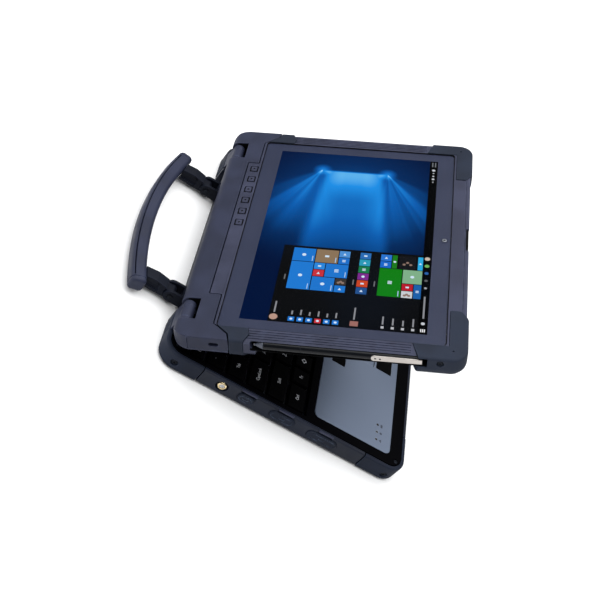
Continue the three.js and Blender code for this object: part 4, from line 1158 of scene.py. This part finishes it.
def ribs():
    """Grooves along both sloping side trims."""
    tools = []
    for _, side in SIDES:
        for k in range(4):
            x = side * (121.4 + 2.35 * k)
            top = GLASS_TOP - 0.5 * (abs(x) - SLOPE_START) / 9
            groove = rect(*span(side, abs(x), abs(x) + 0.95), top - 0.8, top + 2)
            tools.append(prism(groove, -CENTRE - 57.6, -CENTRE + 59.4, "Y"))
    return gather(*tools)


def rail_slope():
    """The slope under the stylus, which stands a little proud of its rail."""
    outer = -TABLET_HALF
    high, low = CHANNEL_LOW + 0.01, BACK - 0.5
    slope = [(outer - 1, high), (outer + 1.5, high), (outer + 11, low), (outer - 1, low)]
    return prism(slope, -CHANNEL_END + 1.5, -CHANNEL_START - 4, "Y")


def front_frame():
    body = common(tablet_envelope(), block(-FAR, FAR, -FAR, FAR, SEAM + GAP / 2, FAR))
    hollow = along(-114.5, 114.5, 25, CENTRE + 79, -FAR, 3.6)
    button_hollow = along(-DOCK_FRONT_HALF + 3, DOCK_FRONT_HALF - 3, DOCK_FRONT + 2.4, 26, -FAR, 3.6)
    seat = prism(glass_outline(-GAP), GLASS_TOP - GLASS_THICK - GAP, FAR)
    window = along(-112, 112, CENTRE - 71.5, CENTRE + 71.5, 0, FAR)
    holes = [prism(button_outline(i, GAP, 0.8), 0, FAR) for i in range(BUTTON_COUNT)]
    channel = prism(rect(-CHANNEL_END, -CHANNEL_START, CHANNEL_LOW, 5.05, 2.4), -FAR, -CHANNEL_INNER, "X")
    beyond_lip = along(-FAR, -LIP_REACH, CHANNEL_START, CHANNEL_END, CHANNEL_LOW, FAR)
    dock_pocket = along(-13, 13, DOCK_FRONT, DOCK_FRONT + 2, -3.4, 3.4)
    port_notch = along(-12, 20, FREE_EDGE - 2.5, FAR, -3, 4.5)
    finger_notch = along(-11, 16, FREE_EDGE - 2.6, FAR, 0, FAR)
    band_line = along(-81, 81, CENTRE + 92.2, CENTRE + 92.9, GLASS_TOP - 0.7, FAR)
    cut(body, hollow, button_hollow, seat, window, *bumper_spaces(), channel, beyond_lip, dock_pocket,
        port_notch, finger_notch)
    cut(body, rail_slope())
    cut(body, ribs(), band_line, *holes)
    piece("tablet_frame", body, TRIM, "tablet", ["tablet_front_frame"], 0.2)


REAR_CAMERA = (84, -CENTRE - 68)


def back_cover():
    body = common(tablet_envelope(), block(-FAR, FAR, -FAR, FAR, -FAR, SEAM - GAP / 2))
    hollow = along(-114.5, 114.5, LEDGE_REACH + 4, CENTRE + 79, -9.2, FAR)
    ledge_space = along(-LEDGE_HALF - GAP, LEDGE_HALF + GAP, 0, LEDGE_REACH + GAP, -FAR, LEDGE_TOP + GAP)
    cut(body, hollow, ledge_space, *bumper_spaces(), rail_slope())
    line = cut(prism(rect(-92, 92, -CENTRE - 6, -CENTRE + 62, 4, 6), BACK - 1, BACK + 0.6),
               prism(rect(-91.3, 91.3, -CENTRE - 5.3, -CENTRE + 61.3, 3.4, 6), BACK - 2, BACK + 2))
    vents = [prism(rect(x - 1, x + 1, -CENTRE - 52, -CENTRE - 30, 0.9, 3), BACK - 1, BACK + 1)
             for x in range(-36, 37, 6)]
    lens = rod(5.2, BACK - 1, BACK + 1, *REAR_CAMERA, "Z", 40)
    spots = [(x, -CENTRE + y) for x in (-108, 108) for y in (-60, 0, 60)]
    wells = [rod(3.0, BACK - 1, BACK + 0.9, x, y, "Z", 24) for x, y in spots]
    cut(body, gather(line, *vents, *wells, lens))
    piece("tablet_back", body, CASING, "tablet", ["tablet_back_cover"], 0.25)
    heads = [screw_head(x, y, BACK + 0.1, 2.3) for x, y in spots]
    piece("tablet_back_screws", gather(*heads), SCREW, "tablet", bevel=0.1)
    rear_camera()


def rear_camera():
    ring = cut(turned([(4.4, BACK + 0.1), (4.9, BACK + 0.3), (4.9, BACK + 1)], *REAR_CAMERA, "Z", 40),
               rod(3.4, BACK - 1, BACK + 0.7, *REAR_CAMERA, "Z", 40))
    piece("rear_camera_ring", ring, STEEL, "tablet", bevel=0.12)
    eye = turned([(0.6, BACK + 0.3), (3.2, BACK + 0.45), (3.2, BACK + 0.65)], *REAR_CAMERA, "Z", 32)
    piece("rear_camera_lens", eye, PEN_BLACK, "tablet", bevel=0)


def glass_outline(depth):
    half = GLASS_HALF - depth
    return rect(-half, half, -GLASS_END + depth, -GLASS_START - depth, GLASS_CORNER, 6)


def tablet_bumper(name, outline, bevel, *spaces):
    w = HALF_WIDTH
    outer = soft([(-w, -BUMPER_EDGE, 12), (w, -BUMPER_EDGE, 12), (w, 20, 0), (-w, 20, 0)], 10)
    body = common(plate(outer, BACK - 0.3, BUMPER_TOP, 2.2, 8), prism(outline, -FAR, FAR))
    cut(body, *spaces)
    piece(name + "_rubber", body, RUBBER, "tablet", [name], bevel)


def tablet_bumpers():
    well_y, well_z = -CENTRE - 78.4, GLASS_TOP - 4.3
    channel = rect(-CHANNEL_END, -CHANNEL_START, CHANNEL_LOW, CHANNEL_HIGH)
    for word, side in SIDES:
        pen = prism(channel, -FAR, -CHANNEL_INNER, "X")
        well = rod(2.7, *span(side, HALF_WIDTH - 1.6, HALF_WIDTH + 1), well_y, well_z)
        dot = rod(0.8, BUMPER_TOP - 1.4, FAR, side * 124.6, -CENTRE - 87, "Z", 12)
        tablet_bumper(f"tablet_bumper_top_{word}", free_bumper_outline(side, 0), 0.4, pen, well, dot)
        side_screw(f"tablet_screw_{word}", "tablet", side, well_y, well_z, 2.0, (1.6, 1.0, 0.7, 1.2), 0.9)
        tablet_bumper(f"tablet_bumper_dock_{word}", dock_bumper_outline(side, 0), 0.35)


WEBCAM_Y = -CENTRE - 76.8


def webcam_hole():
    return rod(2.6, 0, FAR, 0, WEBCAM_Y, "Z")


def screen():
    sheet = plate(glass_outline(0.35), GLASS_TOP - GLASS_THICK, GLASS_TOP, 0.25)
    gasket = cut(prism(glass_outline(-0.25), GLASS_TOP - GLASS_THICK - 0.2, GLASS_TOP - 0.35),
                 prism(glass_outline(0.33), 0, FAR))
    piece("glass_gasket", gasket, BLACK, "tablet", bevel=0.08)
    cut(sheet, webcam_hole())
    piece("cover_glass_sheet", sheet, GLASS, "tablet", ["cover_glass"], 0)
    under = GLASS_TOP - GLASS_THICK
    bezel = prism(glass_outline(0.4), under - 0.12, under - 0.02)
    half, length = PICTURE_HALF, PICTURE_HALF_LENGTH
    cut(bezel, along(-half, half, CENTRE - length, CENTRE + length, 0, FAR), webcam_hole())
    piece("bezel_print", bezel, BEZEL, "tablet", bevel=0)
    half, length = half + 1, length + 1
    stack = along(-half, half, CENTRE - length, CENTRE + length, 0.2, under - 0.15)
    picture = piece("display_picture", stack, PICTURE, "tablet", ["display_panel"], 0)
    back_to_lid = (LID @ Matrix.Scale(MM, 4)).inverted()
    layer = picture.data.uv_layers.new(name="UVMap")
    for loop, uv in zip(picture.data.loops, layer.data):
        local = back_to_lid @ picture.data.vertices[loop.vertex_index].co
        uv.uv = ((-local.y - CENTRE) / 100, local.x / 100)
    tiles(under - 0.13)


# Each tile is (column, row, columns, rows, colour); each group starts at its own place along the screen.
TILE_GROUPS = (
    (-39, ((0, 0, 2, 2, "1c74cc"), (2, 0, 2, 2, "8a7358"), (4, 0, 1, 1, "4c8fd4"), (4, 1, 1, 1, "1f6fc8"),
           (0, 2, 2, 4, "1f78d0"), (2, 2, 1, 1, "2a86dc"), (2, 3, 1, 1, "c8303c"), (3, 2, 2, 2, "1f74cc"),
           (2, 4, 2, 2, "1f74cc"), (4, 4, 1, 1, "3a3430"), (4, 5, 1, 1, "1f74cc"))),
    (13, ((0, 0, 1, 1, "2a6cb4"), (0, 1, 1, 1, "2a9ab8"), (0, 2, 1, 1, "1a7a4a"), (0, 3, 1, 1, "7a2a8c"),
          (0, 4, 1, 1, "c84422"), (0, 5, 1, 1, "24508c"))),
    (29, ((0, 0, 1, 1, "2a74d0"), (0, 1, 1, 1, "1c68c8"), (1, 0, 0.5, 2, "1c7a1c"),
          (1.6, 0, 1.5, 2, "15161a"), (3.2, 0, 0.5, 2, "2aa8e0"), (0, 2, 2, 4, "107c10"),
          (2, 2, 1.7, 2, "7fae88"), (2, 4, 1, 1, "b81e2c"), (2, 5, 1, 1, "c8ccd0"),
          (3, 4, 0.7, 2, "1c5fa8"))),
)
TILE_WIDE, TILE_TALL, TILE_GAP, TILE_TOP = 8.95, 8.2, 0.7, -22
PANEL = (-47.3, -108.8, 115.3, 88.6)
TASKBAR = (61.2, -108.8, 6.8, 217.6)
LIST_COLOURS = ("1f74cc", "1f74cc", "1f74cc", "c8303c", "1f74cc", "1f74cc")
LIST_START, LIST_PITCH = -32.8, 6.45
DARK_TILES = ("15161a", "3a3430", "c8ccd0")


def box_area(u, v, wide, tall):
    return [(u, v), (u + wide, v), (u + wide, v + tall), (u, v + tall)]


def tile_glyph(u, v, size, kind):
    """A plain white sign of one of four shapes, centred on a tile."""
    if kind == 0:
        return [circle(u, v, size, 20)]
    if kind == 1:
        return [box_area(u - size, v - size * 0.7, size * 2, size * 1.4)]
    if kind == 2:
        return [soft([(u - size, v - size, 0), (u + size, v - size, 0), (u, v + size, 0)])]
    return [box_area(u - size, v + size * k - size * 0.25, size * 2, size * 0.5) for k in (-0.8, 0, 0.8)]


def tile_areas():
    """Coloured outlines of the picture's panel, as (outline, level, colour)."""
    yield box_area(*PANEL), 0, "0a0b0d"
    yield box_area(*TASKBAR), 1, "010101"
    for group, (start, members) in enumerate(TILE_GROUPS):
        yield box_area(start - 3.2, TILE_TOP - 4.8 * TILE_TALL, 1.0, 6), 2, "6a6c70"
        for index, (column, row, wide, tall, code) in enumerate(members):
            u, v = start + column * TILE_WIDE, TILE_TOP - (row + tall) * TILE_TALL
            across, along_v = wide * TILE_WIDE - TILE_GAP, tall * TILE_TALL - TILE_GAP
            yield box_area(u, v, across, along_v), 2, code
            if code in DARK_TILES:
                for k in range(3):
                    spot = (u + across * (0.3 + 0.2 * k), v + along_v * (0.35 + 0.15 * (k % 2)))
                    yield circle(*spot, 1.2, 14), 3, "8c7468"
                continue
            size = 0.9 + 0.35 * min(wide, tall)
            for outline in tile_glyph(u + across / 2, v + along_v / 2, size, (index + group) % 4):
                yield outline, 3, "d0e4f6"
            if wide * tall >= 4:
                yield box_area(u + across - 2, v + 1, 0.7, min(along_v, 12) * 0.5), 3, "a8c8ea"
    for k, code in enumerate(LIST_COLOURS):
        u = LIST_START + LIST_PITCH * k
        yield box_area(u, -106.6, 4.6, 4.6), 2, code
        yield circle(u + 2.3, -104.3, 1.1, 14), 3, "d0e4f6"
        yield box_area(u + 1.7, -99.6, 1.2, 4.0 + 1.6 * (k % 2)), 2, "8a8c92"
    for k in range(4):
        yield box_area(34.6 + 7.3 * k, -106.2, 2.2, 2.4), 2, "b8bac0"
        yield box_area(35.1 + 7.3 * k, -102.0, 1.2, 8.5 - 1.3 * (k % 3)), 2, "8a8c92"
    yield circle(-43.6, -103.5, 3.1, 24), 2, "b89484"
    yield box_area(-44.2, -98.6, 1.2, 12), 2, "8a8c92"
    yield box_area(12.2, -106.4, 6, 5.2), 2, "9c6a62"
    yield box_area(14.2, -99.6, 1.2, 13), 2, "8a8c92"
    for k in range(2):
        yield box_area(63.0 + 2.4 * k, 100.5, 1.0, 6.5), 2, "70747a"
    for k, size in enumerate((1.5, 0.7, 0.9, 1.2, 0.6)):
        yield circle(64.6, 95.5 - 4.3 * k, size, 14), 2, "c4c8cf"
    for k, code in enumerate(("c8b8a8", "6fae5a", "2a5fa8", "5a5c60", "a4a8af")):
        yield circle(64.6, -24 - 8.6 * k, 2.1 - 0.25 * k, 18), 2, code
    yield box_area(63.9, -92, 1.3, 24), 2, "8a8c92"
    yield circle(64.5, -97.5, 1.5, 16), 2, "c4c8cf"
    for k in range(3):
        yield box_area(62.9 + 1.3 * k, -106.4, 0.8, 3.2), 2, "e8e8ea"


def tiles(level):
    """The panel's areas as thin raised solids over the picture, each in its own colour."""
    bm = bmesh.new()
    tints = []
    for outline, layer, code in tile_areas():
        high = level + 0.012 * layer
        top = [bm.verts.new((v, -CENTRE - u, high)) for u, v in outline]
        low = [bm.verts.new((v, -CENTRE - u, high - 0.008)) for u, v in outline]
        bm.faces.new(top)
        bm.faces.new(low)
        for i in range(len(top)):
            j = (i + 1) % len(top)
            bm.faces.new((top[i], top[j], low[j], low[i]))
        tints += [colour(code)] * (len(top) + 2)
    shape = to_object(bm)
    attribute = shape.data.attributes.new("tile", "FLOAT_COLOR", "FACE")
    attribute.data.foreach_set("color", [c for tint in tints for c in tint])
    shape.data.transform(LID @ Matrix.Scale(MM, 4))
    shape.data.materials.append(TILES)
    shape.name = shape.data.name = "display_tiles"
    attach(shape, "tablet")


def webcam():
    ring = cut(turned([(1.8, 5.3), (1.8, 6.0), (1.5, 6.1)], 0, WEBCAM_Y, "Z"),
               rod(0.9, 5.95, FAR, 0, WEBCAM_Y, "Z"))
    piece("webcam_ring", ring, STEEL, "tablet", ["webcam_lens"], 0.08)
    dome = turned([(0.85, 5.96), (0.85, 5.99), (0.6, 6.05), (0.3, 6.08)], 0, WEBCAM_Y, "Z")
    piece("webcam_dome", dome, PEN_BLACK, "tablet", bevel=0)


def function_buttons():
    for i in range(BUTTON_COUNT):
        name = f"function_button_{i + 1}"
        top = plate(button_outline(i, -0.85, 0.9), 2.9, 6.7, 0.3)
        x = button_x(i)
        cut(top, prism(circle(x, -BUTTON_ALONG, 1.0, 20), 6.4, FAR))
        piece(name + "_cap", top, TRIM, name, [name], 0.1)
        # The black ring under the groove round each cap is painted shade in the groove; the black disc in the
        # cap's hole is the button's icon.
        groove_shade = cut(plate(button_outline(i, 0, 0.8), 3.9, 5.6), prism(button_outline(i, -0.8, 0.9), 0, FAR))
        mark = prism(circle(x, -BUTTON_ALONG, 0.95, 20), 6.3, 6.45)
        piece(name + "_skirt", gather(groove_shade, mark), BLACK, name, bevel=0.05)


def pen_channel():
    """A black wall and floor in the stylus channel: painted shade under the stylus."""
    x, start, end = -CHANNEL_INNER - 0.05, CHANNEL_START + 0.1, CHANNEL_END - 0.1
    black_insert = along(x - 0.3, x, start, end, CHANNEL_LOW + 0.1, 5.0)
    bed = along(-TABLET_HALF + 0.6, x, start, end, CHANNEL_LOW + 0.05, CHANNEL_LOW + 0.3)
    piece("pen_channel_painted_shade", join(black_insert, bed), BLACK, "tablet", bevel=0.05)


def pen_part(levels):
    """A turned part of the stylus from (radius, reach) levels, tip first."""
    return turned([(radius, -reach) for radius, reach in reversed(levels)], PEN_X, PEN_Z, "Y", 40)


def stylus():
    tip_end, r = PEN_START + 7, PEN_RADIUS
    body = pen_part([(r, tip_end), (r, tip_end + 0.1), (r, PEN_END - 0.6), (r - 0.6, PEN_END)])
    cone = pen_part([(0.85, PEN_START + 0.5), (1.1, PEN_START + 1.6), (2.0, PEN_START + 3.6),
                     (3.0, tip_end - 0.6), (3.0, tip_end - 0.1)])
    piece("stylus_cone", cone, STYLUS_CONE, "stylus", bevel=0.1)
    bands = [cut(turned([(r + 1, -reach), (r + 1, -reach - 0.5)], PEN_X, PEN_Z, "Y", 40),
                 turned([(r - 0.3, -reach + 1), (r - 0.3, -reach - 1.5)], PEN_X, PEN_Z, "Y", 40))
             for reach in (tip_end, CENTRE - 20)]
    cut(body, *bands)
    piece("stylus_barrel", body, PEN_BLACK, "stylus", ["stylus"], 0.1)
    nib = turned([(0.5, -PEN_START - 0.1), (0.75, -PEN_START - 0.7), (0.82, -PEN_START - 1.2)],
                 PEN_X, PEN_Z, "Y", 24)
    piece("stylus_nib", nib, PRINT, "stylus", bevel=0)
    low, high, start = PEN_Z - 2.5, PEN_Z + 2.2, -CENTRE - 30
    clip = soft([(-PEN_END, low + 0.6, 0.3), (start, low, 2.3), (start, high, 2.3), (-PEN_END, high, 0.5)], 8)
    clip = plate(clip, PEN_X - 3.35, PEN_X - 2.2, bottom=0.4, axis="X")
    cut(clip, *[rod(0.7, -FAR, PEN_X - 3.0, start - k, PEN_Z - 0.2, "X", 20) for k in (3.2, 6.6)])
    piece("stylus_clip", clip, SILVER, "stylus", bevel=0.12)


def ports():
    """Generic sockets in the recess of the free edge."""
    edge = -FREE_EDGE
    backing = along(-11.8, 19.8, FREE_EDGE - 2.4, FREE_EDGE - 2.1, -2.8, 4.3)
    piece("edge_port_plate", backing, BLACK, "tablet", bevel=0.05)
    insert = along(-10.8, 15.8, FREE_EDGE - 2.4, FREE_EDGE - 0.4, 4.7, GLASS_TOP - 0.7)
    piece("edge_notch_lining", insert, BLACK, "tablet", bevel=0.2)
    shells = []
    for x, half in ((-6, 4.2), (10, 6.4)):
        outer = prism(rect(x - half, x + half, -0.9, 2.4, 0.8, 4), edge + 0.6, edge + 2.1, "Y")
        inner = prism(rect(x - half + 0.5, x + half - 0.5, -0.4, 1.9, 0.6, 4), edge, edge + 1.6, "Y")
        shells.append(cut(outer, inner))
    piece("edge_port_sockets", gather(*shells), STEEL, "tablet", bevel=0.08)


# ---------------------------------------------------------------- assembly

base_shell()
base_bumpers()
feet()
port_covers()
antenna()
deck_plate()
palm_rest()
keyboard()
hinge_knuckles()
handle_grip()
handle_arms()
handle_mounts()
dock_shells()
dock_fittings()
front_frame()
back_cover()
tablet_bumpers()
screen()
webcam()
function_buttons()
pen_channel()
stylus()
ports()
carry(SCREW, "hinge_pin_left", "hinge_pin_right", "handle_pin_left", "handle_pin_right")
carry(board_finish(), "base_board", "tablet_board")
carry(BATTERY, "base_battery", "tablet_battery")

# ---------------------------------------------------------------- camera, floor and light

TARGET = Vector((-64.3, 14.25, 60)) * MM
DISTANCE = 0.8
AZIMUTH, ELEVATION, ROLL = (math.radians(a) for a in (249.37, 38.05, -42.85))
LENS = 62.874


def camera():
    level = math.cos(ELEVATION)
    away = Vector((math.sin(AZIMUTH) * level, -math.cos(AZIMUTH) * level, math.sin(ELEVATION)))
    level_right = away.cross(Vector((0, 0, -1))).normalized()
    level_up = away.cross(level_right)
    up = level_up * math.cos(ROLL) + level_right * math.sin(ROLL)
    turn = Matrix((up.cross(away), up, away)).transposed().to_4x4()
    holder = bpy.data.objects.new("camera", bpy.data.cameras.new("camera"))
    holder.data.lens = LENS
    holder.data.clip_start = 0.01
    holder.matrix_world = Matrix.Translation(TARGET + away * DISTANCE) @ turn
    bpy.context.scene.collection.objects.link(holder)
    bpy.context.scene.camera = holder


def floor():
    size = 3
    shape = loft([[(x * size, y * size, z) for x, y in ((-1, -1), (1, -1), (1, 1), (-1, 1))]
                  for z in (-0.03, -FOOT_DROP * MM)])
    f = Finish("studio_floor", Roughness=0.7)
    f.set("Base Color", (0.93, 0.93, 0.93, 1))
    shape.data.materials.append(f.material)
    shape.name = "floor"


def softbox(name, place, size, power, aim=(0, 0, 0.05)):
    lamp = bpy.data.lights.new(name, "AREA")
    lamp.shape = "RECTANGLE"
    lamp.size, lamp.size_y = size
    lamp.energy = power
    holder = bpy.data.objects.new(name, lamp)
    holder.location = place
    holder.rotation_euler = (Vector(place) - Vector(aim)).to_track_quat("Z", "Y").to_euler()
    bpy.context.scene.collection.objects.link(holder)


def studio():
    world = bpy.data.worlds.new("studio")
    world.use_nodes = True
    world.node_tree.nodes["Background"].inputs["Color"].default_value = (0.96, 0.98, 1, 1)
    world.node_tree.nodes["Background"].inputs["Strength"].default_value = 0.3
    bpy.context.scene.world = world
    bpy.context.scene.view_settings.view_transform = "Standard"
    softbox("overhead", (0.1, 0.1, 2.2), (4.0, 4.0), 130)
    softbox("rear", (0.3, 1.6, 0.9), (1.2, 0.8), 7)


camera()
floor()
studio()
